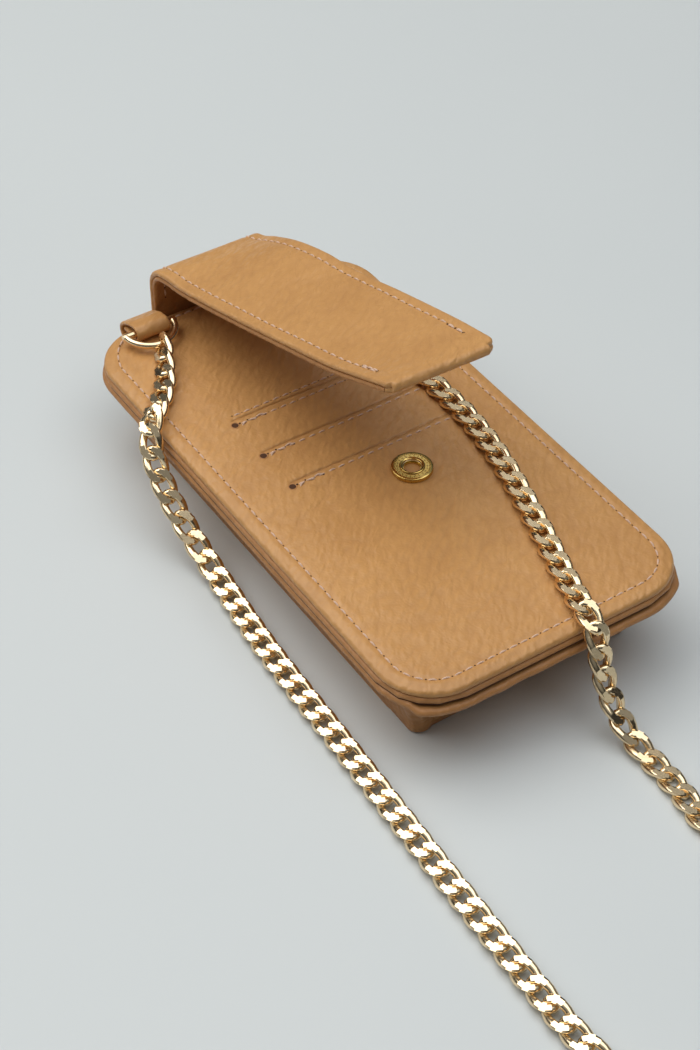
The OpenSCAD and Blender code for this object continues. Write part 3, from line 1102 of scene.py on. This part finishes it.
        arc(-cx, cy, (math.pi - turn, math.pi), self.mouth_steps, (0.0, 0.0))
        stations += [WallStation(-cx, y, -1.0, 0.0, 0.0) for y in grid_lines([cy, -cy], 2.0)[:0:-1]]
        arc(-cx, -cy, (math.pi, math.pi + quarter), self.corner_steps, (0.0, 1.0))
        stations += [WallStation(x, -cy, 0.0, -1.0, 1.0) for x in grid_lines([-cx, cx], 2.0)[:-1]]
        arc(cx, -cy, (-quarter, 0.0), self.corner_steps, (1.0, 0.0))
        stations += [WallStation(cx, y, 1.0, 0.0, 0.0) for y in grid_lines([-cy, cy], 2.0)[:-1]]
        arc(cx, cy, (0.0, turn), self.mouth_steps, (0.0, 0.0))
        stations.append(WallStation(cx, cy, math.cos(turn), math.sin(turn), 0.0))
        rings = [[(*station.at(self.outline.corner - inset), z) for inset, z in self._wall_section(station)]
                 for station in stations]
        points, faces = bridge(rings)
        place(make_piece("gusset_wall", points, faces, self.finishes.edge, crisp=75.0), "pouch", Slot.EDGE,
              "gusset")

    def _wall_section(self, station: WallStation) -> list[tuple[float, float]]:
        """The gusset's closed section at one station, as (inset, height).

        Args:
            station: Where the section is.

        Returns:
            The section's points, out along the flange, down the wall and back up inside.
        """
        near, roll = station.near, self.flange_thick / 2
        lip = smooth(0.40, 0.52, near)
        top = self.face_z - self.panel_thick - self.lining_thick - self.lip_drop * lip
        low = top - self.flange_thick
        tuck = mix(self.tuck_sides, self.tuck_near, smooth(0.0, 1.0, near))
        corner = bell(near - 0.5, 0.20)
        uneven = Folds(0.30, 13.0, 13.0, 6.0).at(station.core_x * 2 + station.out_x * 20,
                                                 station.core_y + station.out_y * 20)
        edge = uneven - self.flange_proud - 0.9 * lip - 0.5 * corner
        section = [(10.0, top - 0.05), (6.0, top - 0.02), (edge + roll + 0.8, top)]
        for k in range(7):
            a = math.pi * k / 6
            section.append((edge + roll - roll * math.sin(a), top - roll + roll * math.cos(a)))
        from_corner = self.outline.core[0] - abs(station.core_x) if near == 1.0 else 99.0
        wall = []
        for k in range(self.wall_steps + 1):
            t = k / self.wall_steps
            arch = math.sin(math.pi * t)
            inset = mix(edge + roll + 1.4, tuck, math.sin(math.pi / 2 * t) ** 0.9)
            sag = 0.77 * arch * (0.6 + station.wave(self.sagging, 9.0))
            ripple = arch * station.wave(self.rippling, 18.0, t * 7)
            tucks = math.sin(math.pi * (near * 5.0 + 0.5 * t)) * corner
            tucks *= math.sin(math.pi * min(1.0, t * 1.15))
            pleats = sum(bell(from_corner - 1.5 - 3.4 * n - (2.0 + 3.4 * n) * t, 1.2) for n in range(3))
            inset += sag + ripple - self.tuck_depth * tucks - self.pleat_depth * pleats * arch
            wall.append((inset, mix(low - 0.1, 0.9, t)))
        foot = [(tuck + 0.9, 0.12), (tuck + 3.0, 0.05), (tuck + 7.0, 1.31), (tuck + 7.0, 2.45)]
        inside = [(inset + self.wall_thick, max(2.5, z)) for inset, z in wall[::-1]]
        return section + wall + foot + inside + [(11.5, low + 0.3), (11.5, top - 0.3)]

    def _pockets(self) -> None:
        """The three thin pockets behind the slots."""
        for level, name in enumerate(("upper", "middle", "lower")):
            low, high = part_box("card_pocket_" + name)
            outline = Outline((high.x - low.x) / 2 / MM, (high.y - low.y) / 2 / MM, 3.0, border=2.0)
            droop = Folds(0.015, 15.0, 15.0, level)
            sheet = Sheet(outline, high.z / MM, (high.z - low.z) / MM, skin=0.2, relief=droop.at)
            piece = sheet.build("pocket_" + name, self.finishes.pocket)
            piece = shifted(piece, ((high.x + low.x) / 2 / MM, (high.y + low.y) / 2 / MM, 0.0))
            place(piece, "pouch", Slot.POCKET, "card_pocket_" + name)

    def on_face(self, x: float, y: float, lift: float = 0.0) -> Point:
        """The point of the front at x and y."""
        return x, y, self.face_z + self.face(x, y) + lift

    def _border(self) -> None:
        """The seam round the whole face, a little nearer the edge at the far end."""
        points = []
        for x, y in self.outline.loop(self.border_seam, 1.0):
            points.append(self.on_face(x, y + 1.6 * smooth(80.0, 89.0, y), 0.05))
        self.sewing.place(self.sewing.seam("border", [points], 3.75, seed=3), "pouch")

    def _cross_seams(self) -> None:
        """The seams beside the card slots, with the punched holes that start three of them."""
        runs = []
        for seam in self.seams:
            runs.append([self.on_face(x, seam + 0.10 * math.sin(x / 9.0), 0.05)
                         for x in grid_lines([self.seam_start + 1.6, self.seam_end], 0.7)])
        self.sewing.place(self.sewing.seam("slot", runs, 3.5, seed=17), "pouch")
        back = [[self.on_face(x, seam + 0.42 * math.sin((x - self.seam_start) * 1.6), 0.16)
                 for x in grid_lines([self.seam_start + 1.8, self.seam_start + 10.8], 0.5)]
                for seam in self.seams[1:]]
        self.sewing.place(self.sewing.seam("slot_backstitch", back, 2.9, seed=23), "pouch")
        for number, seam in enumerate(self.seams[1:]):
            x, y = self.seam_start + 0.1, seam
            z = max(self.on_face(x + dx, y + dy)[2] for dx in (-1.2, 0.0, 1.2) for dy in (-1.2, 0.0, 1.2))
            ring = [(0.95, -0.6), (1.4, -0.6), (1.55, 0.02), (1.35, 0.10), (1.12, 0.06), (1.02, -0.08)]
            piece = lathe(f"slot_hole_{number + 1}_lip", ring, (x, y, z), self.finishes.edge, 28, 60.0)
            place(piece, "pouch", Slot.EDGE)
            # The punched hole's floor is near black: painted shade inside the hole.
            floor = [(0.001, -0.6), (1.1, -0.6), (1.06, 0.045), (0.001, 0.02)]
            piece = lathe(f"slot_hole_{number + 1}_inside", floor, (x, y, z), self.finishes.hole, 28)
            place(piece, "pouch", Slot.EDGE)


def shifted(piece: bpy.types.Object, by: Point) -> bpy.types.Object:
    """Move a piece's mesh by millimetres and leave the object at the origin."""
    piece.data.transform(Matrix.Translation(Vector(by) * MM))
    return piece


# ---------------------------------------------------------------- the strap


class Station(NamedTuple):
    """A cross-section of the strap: its middle, the way out of it and its place on the flap."""

    y: float
    z: float
    out_y: float
    out_z: float
    grow: float = 1.0
    along: float = 0.0
    rolled: bool = False


@dataclass
class Strap:
    """The two-layer strap: sewn end, standing part, fold and flap."""

    finishes: Finishes
    sewing: Sewing
    thick: float = 3.6
    outer: float = 1.9
    left: float = -23.0
    right: float = 16.2
    tip_left: float = -14.3
    tip_right: float = 23.8
    fold_y: float = 88.7
    fold_z: float = 42.81
    fold_radius: float = 7.6
    slope: float = 14.6
    length: float = 121.6
    stand_y: float = 96.3
    split_z: float = 24.0
    seam_in: float = 4.0
    seam_stop: float = 9.5
    hem: float = 1.3
    foot_z: float = 1.95
    foot_radius: float = 5.0
    skived: float = 0.36
    fold_steps: int = 20
    roll_steps: int = 12
    tip_corners: tuple[float, float] = (1.3, 3.2)
    swell: Folds = Folds(0.35, 16.0, 22.0, 9.0)
    ripples: Folds = Folds(0.12, 5.0, 8.0, 13.0)
    crumples: Folds = Folds(1.0, 3.0, 2.2, 21.0)
    left_lift: tuple[tuple[float, float], ...] = (
        (-31.0, 0.9), (-12.0, -0.9), (0.0, -2.1), (22.0, -2.3), (58.0, -2.2), (78.0, -1.5), (90.0, 0.0))
    right_lift: tuple[tuple[float, float], ...] = (
        (-31.0, 0.0), (-10.0, 1.5), (18.0, 2.4), (30.0, 2.4), (43.0, 3.0), (54.0, 4.3), (70.0, 4.0),
        (84.0, 1.5), (91.0, 0.0))

    def path(self) -> list[Station]:
        """The strap's cross-sections, from its sewn end up and over the fold to the flap's tip."""
        radius, skived = self.foot_radius, self.skived
        result = [Station(y, self.foot_z, 0.0, -1.0, skived) for y in steps(76.0, 91.0, 2.5)]
        for k in range(9):
            a = math.radians(90.0 * k / 8)
            y, z = math.sin(a), -math.cos(a)
            result.append(Station(self.stand_y - radius + radius * y, self.foot_z + radius + radius * z, y, z,
                                  mix(skived, 1.0, k / 8)))
        result += [Station(self.stand_y, z, 1.0, 0.0)
                   for z in grid_lines([8.4, self.split_z, self.fold_z], 1.6)]
        turn = math.radians(90.0 - self.slope)
        for k in range(1, self.fold_steps + 1):
            a = turn * k / self.fold_steps
            y, z = math.cos(a), math.sin(a)
            result.append(Station(self.fold_y + self.fold_radius * y,
                                  self.fold_z + self.fold_radius * z, y, z))
        start, fine = result[-1], self.length - 4.0
        for distance in [*steps(1.2, fine, 1.2), *grid_lines([fine, self.length], 0.33)]:
            result.append(start._replace(y=start.y - start.out_z * distance,
                                         z=start.z + start.out_y * distance, along=distance))
        return result

    def roll(self, tip: Station) -> list[Station]:
        """The cross-sections that carry the outer leather round the tip and back under it."""
        result = []
        for k in range(1, self.roll_steps + 1):
            a = math.pi * k / self.roll_steps
            c, s = math.cos(a), math.sin(a)
            result.append(tip._replace(out_y=tip.out_y * c - tip.out_z * s,
                                       out_z=tip.out_z * c + tip.out_y * s, rolled=True))
        under = result[-1]
        for distance in grid_lines([0.5, self.hem], 0.8):
            result.append(under._replace(y=tip.y + tip.out_z * distance, z=tip.z - tip.out_y * distance,
                                         along=tip.along - distance))
        return result

    def span(self, along: float) -> tuple[float, float]:
        """The strap's left and right edges at a station, with round tip corners."""
        t = along / self.length
        low, high = mix(self.left, self.tip_left, t), mix(self.right, self.tip_right, t)
        left = self.length - along
        pulls = [radius - math.sqrt(max(0.0, radius * radius - max(0.0, radius - left) ** 2))
                 for radius in self.tip_corners]
        return low + pulls[0], high - pulls[1]

    def lift(self, u: float, y: float) -> float:
        """How far the flap stands off its nominal slope, at a share u across it."""
        across = 0.5 * (smooth(0.0, 1.0, u) + u)
        return mix(through(self.left_lift, y), through(self.right_lift, y), across) * smooth(94.0, 82.0, y)

    def surface(self, u: float, station: Station, offset: float) -> Point:
        """A point of the strap at a share u across a station, offset outward from its middle."""
        low, high = self.span(station.along)
        x, y, z = mix(low, high, u), station.y, station.z
        soft = self.swell.at(x, y + z) + self.ripples.at(x, y + z)
        if station.along > 0:
            soft *= smooth(1.0, 0.9, abs(2 * u - 1)) * smooth(0.0, 9.0, self.length - station.along)
            z += self.lift(u, y)
        else:
            soft *= 0.3
        if station.rolled:
            offset, soft = max(offset, 0.03), -soft
        reach = offset * station.grow + soft
        return x, y + station.out_y * reach, z + station.out_z * reach

    def layer(self, name: str, stations: Sequence[Station], inner: float, outer: float,
              finish: bpy.types.Material, crumple: float = 0.0) -> bpy.types.Object:
        """Make one layer through a run of cross-sections.

        Args:
            name: The piece's name.
            stations: The cross-sections that it passes through.
            inner: The layer's inner face, from the strap's middle.
            outer: The layer's outer face.
            finish: The material it wears.
            crumple: The height of small creases inside the fold.

        Returns:
            The new object.
        """
        radius, middle = (outer - inner) / 2, (outer + inner) / 2
        width = self.right - self.left
        shares = [radius * (1 - math.cos(math.pi / 2 * k / 4)) / width for k in range(5)]
        shares += grid_lines([shares[-1] + 0.012, 0.5], 0.028)
        shares += [1 - s for s in shares[-2::-1]]
        rings = []
        for index, station in enumerate(stations):
            sewn = 0.28 * smooth(self.seam_stop - 2.5, self.seam_stop, self.length - station.along)
            upper, lower = [], []
            for u in shares:
                edge = min(u, 1 - u) * width
                bulge = math.sqrt(max(0.0, 1 - (1 - min(1.0, edge / radius)) ** 2))
                seam = sewn * bell(edge - self.seam_in, 0.8)
                dent = crumple * self.crumples.at(u * 30, index * 1.4)
                upper.append(self.surface(u, station, middle + radius * bulge - seam))
                lower.append(self.surface(u, station, middle - radius * bulge + seam * 0.7 + dent))
            rings.append(upper + lower[::-1])
        return make_piece(name, *bridge(rings), finish, crisp=80.0)

    def build(self) -> None:
        """Make the four layers and the two seams."""
        path = self.path()
        split = next(i for i, p in enumerate(path) if p.out_z == 0.0 and p.z >= self.split_z - 0.01)
        standing, flap = path[:split + 1], path[split:]
        short = [p for p in flap if p.along <= self.length - self.hem - 0.1]
        outside = (self.thick / 2 - self.outer + 0.02, self.thick / 2)
        inside = (-self.thick / 2, self.thick / 2 - self.outer - 0.02)
        kit = self.finishes
        lower_outer = self.layer("strap_base_outer", standing, *outside, kit.leather)
        lower_lining = self.layer("strap_base_lining", standing, *inside, kit.edge)
        flap_outer = self.layer("flap_leather", flap + self.roll(path[-1]), *outside, kit.leather)
        flap_lining = self.layer("flap_lining_leather", short, *inside, kit.edge, crumple=0.22)
        base = ((0.0, 0.0915, 0.0012), (0.0, 0.0968, 0.0110))
        root, fold = ("pouch", "flap_base"), ("flap_base", "flap")
        for piece, bodies, ends, slot, nodes in (
                (lower_outer, root, base, Slot.LEATHER, ("flap_riser_outer", "flap_anchor")),
                (lower_lining, root, base, Slot.EDGE, ("flap_riser_lining",)),
                (flap_outer, fold, self._fold_ends, Slot.LEATHER, ("flap_outer",)),
                (flap_lining, fold, self._fold_ends, Slot.EDGE, ("flap_lining",))):
            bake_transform(piece)
            dress(piece, slot, *nodes)
        self._seams(flap)

    @property
    def _fold_ends(self) -> tuple[Point, Point]:
        """Where the fold starts to bend and where it ends, in metres."""
        return (0.0, self.stand_y * MM, 0.0405), (0.0, 0.0835, 0.0535)

    def _seams(self, path: Sequence[Station]) -> None:
        """Sew both long sides, on the outside and on the lining, with doubled stitches near the tip."""
        share = self.seam_in / (self.right - self.left)
        sewn = [p for p in path[9:] if p.along <= self.length - self.seam_stop]
        doubled = [p for p in sewn if p.along >= self.length - self.seam_stop - 8.5]
        half = self.thick / 2
        for label, offset, stations, slip, pitch in (
                ("upper", half - 0.18, sewn, 0.0, 3.9), ("under", 0.10 - half, sewn, 0.0, 3.9),
                ("doubled", half - 0.02, doubled, 0.013, 2.9)):
            runs = [[self.surface(u, p, offset) for p in stations] for u in (share + slip, 1 - share - slip)]
            pieces = self.sewing.seam("flap_" + label, runs, pitch, seed=31)
            for piece, slot in zip(pieces, (Slot.THREAD, Slot.EDGE)):
                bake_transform(piece)
                dress(piece, slot)


@dataclass
class RingTab:
    """The leather tab that comes over the far edge and holds a ring's bar."""

    side: Side
    finishes: Finishes
    centre: float = 29.4
    half: float = 6.0
    thick: float = 1.15
    bar: tuple[float, float] = (86.3, 35.4)
    roll: float = 2.15
    columns: int = 16
    dimples: Folds = Folds(0.12, 4.0, 5.0, 15.0)

    def line(self) -> list[tuple[float, float]]:
        """The tab's middle line, from its sewn tail over the edge and round the bar."""
        by, bz = self.bar
        points = [(78.0, 28.55), (86.0, 28.55), (93.6, 28.6), (95.6, 29.1), (96.5, 30.6), (96.4, 32.4),
                  (95.0, 34.1), (92.6, 35.5), (89.8, 36.9)]
        points += [(by + self.roll * math.cos(a), bz + self.roll * math.sin(a))
                   for a in (math.radians(70 + 20 * k) for k in range(11))]
        points += [(88.6, 33.15), (91.4, 33.0), (93.6, 32.85)]
        return points

    def build(self) -> None:
        """Make the tab."""
        line = [p[:2] for p in part_of([(y, z, 0.0) for y, z in self.line()], 0.0, 1.0, 0.55)]
        x0 = self.side.value * self.centre
        rings = []
        for i, (y, z) in enumerate(line):
            before, after = line[max(0, i - 1)], line[min(len(line) - 1, i + 1)]
            ty, tz = after[0] - before[0], after[1] - before[1]
            size = math.hypot(ty, tz) or 1.0
            ny, nz = -tz / size, ty / size
            radius = self.thick / 2
            upper, lower = [], []
            for k in range(self.columns + 1):
                x = x0 + self.half * math.sin(math.pi * (k / self.columns - 0.5))
                edge = self.half - abs(x - x0)
                bulge = math.sqrt(max(0.0, 1 - (1 - min(1.0, edge / radius)) ** 2))
                soft = self.dimples.at(x, i * 0.6)
                for side, row in ((1, upper), (-1, lower)):
                    reach = side * radius * bulge + soft
                    row.append((x, y + ny * reach, z + nz * reach))
            rings.append(upper + lower[::-1])
        name = "ring_tab_leather_" + self.side.word
        piece = make_piece(name, *bridge(rings), self.finishes.leather, crisp=80.0)
        place(piece, "pouch", Slot.LEATHER, "ring_tab_" + self.side.word)


# ---------------------------------------------------------------- metal


@dataclass
class Snap:
    """The snap's ring with its row of beads, and the CAD hardware that keeps its shape."""

    finishes: Finishes
    repeat: Repeat
    pouch: Pouch
    radius: float = 6.5
    hollow: float = 2.95
    rows: tuple[tuple[float, int], ...] = ((5.38, 52), (4.62, 22))

    def build(self) -> None:
        """Make the ring and its beads, and finish the CAD parts that stay."""
        x, y = self.pouch.snap
        outline = [(self.hollow, 0.02), (self.radius - 0.35, 0.02), (self.radius, 0.35),
                   (self.radius, 1.0), (self.radius - 0.18, 1.4), (self.radius - 0.5, 1.6),
                   (self.radius - 0.85, 1.62), (self.radius - 1.0, 1.42), (3.95, 1.42), (3.8, 1.75),
                   (3.6, 1.86), (3.3, 1.8), (3.05, 1.6), (self.hollow, 1.3)]
        ring = lathe("snap_ring", outline, (x, y, self.pouch.face_z), self.finishes.brass, 96, 32.0)
        place(ring, "pouch", Slot.BRASS, "snap_socket")
        seed = self._bead()
        runs = []
        for radius, count in self.rows:
            circle = [(x + radius * math.cos(a), y + radius * math.sin(a), self.pouch.face_z + 1.44)
                      for a in (math.radians(3 * k) for k in range(121))]
            runs.append((part_of(circle, 0.0, 1.0 - 1.0 / count, 0.4), count))
        beads = self.repeat.along("snap_beads", seed, self.finishes.brass, runs)
        bpy.data.objects.remove(seed)
        place(beads, "pouch", Slot.BRASS)
        for node, finish in (("snap_eyelet", self.finishes.brass), ("snap_spring", self.finishes.spring),
                             ("snap_stud", self.finishes.brass), ("stud_washer", self.finishes.brass),
                             ("ring_left", self.finishes.gold), ("ring_right", self.finishes.gold)):
            wear(frame["nodes"][node], finish)

    def _bead(self) -> bpy.types.Object:
        """One low round bead."""
        rings, radius, height, sides, levels = [], 0.23, 0.22, 8, 4
        for k in range(levels):
            a = math.pi / 2 * k / levels
            level = radius * math.cos(a)
            rings.append([(level * math.cos(b), -height * math.sin(a), level * math.sin(b))
                          for b in (2 * math.pi * j / sides for j in range(sides))])
        return make_piece("bead_seed", *bridge(rings), self.finishes.brass)


def wear(node: bpy.types.Object, finish: bpy.types.Material) -> None:
    """Give a CAD node a finish."""
    if not node.material_slots:
        node.data.materials.append(finish)
    for slot in node.material_slots:
        slot.material = finish


@dataclass
class Chain:
    """The flat curb chain: one run from ring to ring, with a round coil in the middle."""

    finishes: Finishes
    repeat: Repeat
    pitch: float = 7.18
    width: float = 7.8
    wire: float = 1.28
    half_long: float = 4.85
    half_wide: float = 2.65
    twist: float = -1.25
    flat: float = 1.48
    sink: float = 0.4
    lean: float = 17.0
    lean_lift: float = 1.15
    ring_roll: float = 52.0
    coil_centre: tuple[float, float] = (12.0, -242.0)
    coil_radius: float = 42.0
    table_z: float = 2.1
    upper_z: float = 5.8
    lead_links: int = 5
    left: tuple[Point, ...] = (
        (-31.2, 75.4, 35.4), (-33.9, 70, 34.8), (-36.3, 65.5, 34.4), (-39.2, 60.5, 34.3), (-42.8, 55.8, 34.3),
        (-46.8, 51.6, 34.5), (-50.7, 47.4, 34.5), (-53.9, 43.2, 32.6), (-55.8, 39, 28.6),
        (-56.4, 34.4, 23.4), (-56.2, 29, 17.6), (-55.4, 22.8, 11.8), (-54.6, 15.8, 6.8), (-54.3, 7.6, 3.4),
        (-54.8, -1.6, 2.1), (-56.1, -14, 2.1), (-57.4, -30, 2.1), (-58.2, -48, 2.1), (-58.8, -68, 2.1),
        (-59.6, -88, 2.1), (-60.4, -108, 2.1), (-61.1, -128, 2.1), (-61.6, -148, 2.1), (-62.1, -168, 2.1),
        (-62, -186, 2.1), (-59, -203, 2.1), (-51, -217, 2.1), (-41, -228, 2.1), (-34, -237, 2.1))
    right: tuple[Point, ...] = (
        (29.9, 75.4, 35.4), (30.2, 69.5, 34.8), (30.8, 60, 34.4), (31.4, 46, 34.3), (31.8, 30, 34.3),
        (32, 14, 34.3), (31.9, 0, 34.3), (30.7, -13, 34.3), (28.4, -26, 34.3), (25.2, -39, 34.3),
        (21.6, -52, 34.3), (17.7, -65, 34.3), (14, -77, 34.3), (11.2, -87.5, 34.5), (9.8, -93.8, 34.6),
        (9.1, -98, 32.4), (8.9, -100.3, 28), (9, -102.4, 22.4), (9.3, -105, 16.4), (9.8, -108.4, 10.8),
        (10.5, -113, 6), (11.1, -119.2, 3), (11.4, -127, 2.1), (11, -137, 2.1), (9.6, -148, 2.1),
        (10, -160, 2.1), (16, -172, 2.1), (27, -181, 2.3), (40, -191, 3.6), (50, -205, 5.3),
        (54, -222, 5.8), (54.4, -232, 5.8))

    def coil(self) -> list[Point]:
        """One and a half turns, the second lying on the first."""
        points = []
        for degrees in range(182, 720, 6):
            climb = smooth(490.0, 535.0, degrees)
            a = math.radians(degrees)
            points.append((self.coil_centre[0] + self.coil_radius * math.cos(a),
                           self.coil_centre[1] + self.coil_radius * math.sin(a),
                           mix(self.table_z, self.upper_z, climb)))
        return points

    def line(self) -> list[Point]:
        """The whole middle line, ring to ring, as a smooth curve."""
        knots = [Vector(p) for p in (*self.left, *self.coil(), *self.right[::-1])]
        knots = [knots[0] * 2 - knots[1]] + knots + [knots[-1] * 2 - knots[-2]]
        result: list[Point] = []
        for a, b, c, d in zip(knots, knots[1:], knots[2:], knots[3:]):
            for k in range(6):
                t = k / 6
                spot = 0.5 * (2 * b + (c - a) * t + (2 * a - 5 * b + 4 * c - d) * t * t
                              + (3 * b - a - 3 * c + d) * t ** 3)
                result.append(tuple(spot))
        return result + [tuple(knots[-2])]

    def _link(self) -> bpy.types.Object:
        """One curb link, twisted and cut flat above and below. Z runs along the chain."""
        around, sides = 20, 10
        rings = []
        for i in range(around):
            a = 2 * math.pi * i / around
            centre = Vector((self.half_wide * math.sin(a), self.twist * math.sin(2 * a),
                             self.half_long * math.cos(a)))
            ahead = Vector((self.half_wide * math.cos(a), 2 * self.twist * math.cos(2 * a),
                            -self.half_long * math.sin(a))).normalized()
            level = ahead.cross(Vector((0.0, 1.0, 0.0))).normalized()
            above = level.cross(ahead)
            ring = []
            for k in range(sides):
                b = 2 * math.pi * (k + 0.5) / sides
                spot = centre + (level * math.cos(b) + above * math.sin(b)) * self.wire
                ring.append((spot.x, min(self.flat, max(-self.flat, spot.y)) + self.sink, spot.z))
            rings.append(ring)
        seed = make_piece("link_seed", *bridge(rings, closed=True), self.finishes.gold)
        work = bmesh.new()
        work.from_mesh(seed.data)
        for edge in work.edges:
            cut = [abs(face.normal.y) > 0.995 for face in edge.link_faces]
            edge.smooth = len(set(cut)) == 1
        work.to_mesh(seed.data)
        work.free()
        return seed

    def build(self) -> None:
        line = self.line()
        total = length_of(line)
        gaps = round(total / self.pitch)
        LOG.info("chain: %.1f mm, %d links, pitch %.3f mm", total, gaps + 1, total / gaps)
        link = self._link()
        lead = self.lead_links / gaps
        for side, start, end in ((Side.LEFT, 0.0, lead - 1 / gaps), (Side.RIGHT, 1 - lead + 1 / gaps, 1.0)):
            points = part_of(line, start, end)
            rest_roll = self.lean if side is Side.LEFT else 0.0
            rolls = [math.radians(mix(self.ring_roll, rest_roll, smooth(0.0, 0.8, k / (len(points) - 1))))
                     for k in range(len(points))]
            name = "first_links_" + side.word
            piece = self.repeat.along(name, link, self.finishes.gold, [(points, self.lead_links)],
                                      rolls=rolls if side is Side.LEFT else rolls[::-1])
            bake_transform(piece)
            dress(piece, Slot.GOLD, "end_link_" + side.word)
        main = part_of(line, lead, 1 - lead)
        leaning = [1 - smooth(0.30, 0.36, k / (len(main) - 1)) for k in range(len(main))]
        raised = [(x, y, max(z, self.table_z) + self.lean_lift * share)
                  for (x, y, z), share in zip(main, leaning)]
        run = self.repeat.along("curb_chain", link, self.finishes.gold,
                                [(raised, gaps + 1 - 2 * self.lead_links)],
                                rolls=[math.radians(self.lean) * share for share in leaning])
        bpy.data.objects.remove(link)
        place(run, "pouch", Slot.GOLD, "chain_left", "chain_right", "chain_coil")
        path = [tuple(c * MM for c in p) for p in part_of(main, 0.0, 1.0, 4.0)]


# ---------------------------------------------------------------- the studio


class Lamp(NamedTuple):
    """A square lamp: its place and side in metres, its power in watts and its colour."""

    name: str
    spot: Point
    size: float
    power: float
    colour: Colour

    def build(self, aim: Point) -> None:
        """Hang the lamp so that it faces a point."""
        data = bpy.data.lights.new(self.name, "AREA")
        data.energy, data.size, data.color = self.power, self.size, self.colour
        lamp = bpy.data.objects.new(self.name, data)
        lamp.location = self.spot
        lamp.rotation_euler = (Vector(aim) - Vector(self.spot)).to_track_quat("-Z", "Y").to_euler()
        bpy.context.scene.collection.objects.link(lamp)


@dataclass
class Studio:
    """A pale floor, soft light and the camera, in metres and degrees."""

    eye: Point = (-0.2756, -0.4075, 0.465)
    tilt: float = 46.66
    heading: float = -33.2
    lens: float = 73.6
    sensor: float = 36.0
    floor_half: float = 3.0
    aim: Point = (0.0, 0.0, 0.03)
    lamps: tuple[Lamp, ...] = (
        Lamp("key_softbox", (-0.68, 0.80, 1.44), 1.6, 20.5, (1.0, 0.982, 0.95)),
        Lamp("overhead_softbox", (0.32, -0.30, 1.7), 1.6, 12.3, (0.97, 0.985, 1.0)),
        Lamp("back_softbox", (0.36, 0.72, 1.10), 0.5, 1.0, (1.0, 0.985, 0.95)))

    def build(self) -> None:
        """Set up the camera, the floor, the lamps and the surroundings."""
        self._camera()
        self._floor()
        for lamp in self.lamps:
            lamp.build(self.aim)
        self._surroundings()

    def _camera(self) -> None:
        """The camera that frames the wallet from its near left corner."""
        data = bpy.data.cameras.new("camera")
        data.sensor_fit = "VERTICAL"
        data.sensor_height = self.sensor
        data.lens = self.lens
        camera = bpy.data.objects.new("camera", data)
        camera.location = self.eye
        camera.rotation_euler = (math.radians(self.tilt), 0.0, math.radians(self.heading))
        bpy.context.scene.collection.objects.link(camera)
        bpy.context.scene.camera = camera

    def _floor(self) -> None:
        """A smooth pale table top."""
        wiring, shader = new_material("pale_table")
        place_of = wiring.add("TexCoord").outputs["Object"]
        cloud = wiring.add("TexNoise", {"Vector": place_of, "Scale": 3.0, "Detail": 2.0}).outputs["Fac"]
        tint = wiring.add("Mix", {0: cloud, 6: (0.60, 0.635, 0.64, 1.0), 7: (0.66, 0.69, 0.69, 1.0)},
                          data_type="RGBA").outputs[2]
        wiring.tree.links.new(tint, shader.inputs["Base Color"])
        shader.inputs["Roughness"].default_value = 0.42
        half = self.floor_half
        points = [(-half, -half, 0.0), (half, -half, 0.0), (half, half, 0.0), (-half, half, 0.0)]
        mesh = bpy.data.meshes.new("table")
        mesh.from_pydata(points, [], [(0, 1, 2, 3)])
        mesh.materials.append(bpy.data.materials["pale_table"])
        table = bpy.data.objects.new("table", mesh)
        bpy.context.scene.collection.objects.link(table)

    def _surroundings(self) -> None:
        """A studio that is bright above and darker low down."""
        world = bpy.data.worlds.new("studio")
        world.use_nodes = True
        bpy.context.scene.world = world
        wiring = Wiring(world.node_tree)
        place_of = wiring.add("TexCoord").outputs["Generated"]
        height = wiring.add("SeparateXYZ", {0: place_of}).outputs["Z"]
        share = wiring.ramp(height, 0.25, 0.95)
        tint = wiring.add("Mix", {0: share, 6: (0.045, 0.045, 0.047, 1.0), 7: (0.86, 0.9, 0.92, 1.0)},
                          data_type="RGBA").outputs[2]
        sky = world.node_tree.nodes["Background"]
        world.node_tree.links.new(tint, sky.inputs["Color"])
        sky.inputs["Strength"].default_value = 0.42
        bpy.context.scene.view_settings.view_transform = "Standard"


def main() -> None:
    """Build the wallet's finished pieces in order."""
    logging.basicConfig(level=logging.INFO, format="%(name)s: %(message)s")
    finishes = Finishes()
    repeat = Repeat()
    Studio().build()
    Chain(finishes, repeat).build()
    sewing = Sewing(repeat, finishes)
    pouch = Pouch(finishes, sewing)
    pouch.build()
    Strap(finishes, sewing).build()
    for side in Side:
        RingTab(side, finishes).build()
    Snap(finishes, repeat, pouch).build()
    sewing.finish()
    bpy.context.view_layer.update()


if __name__ == "__main__":
    main()
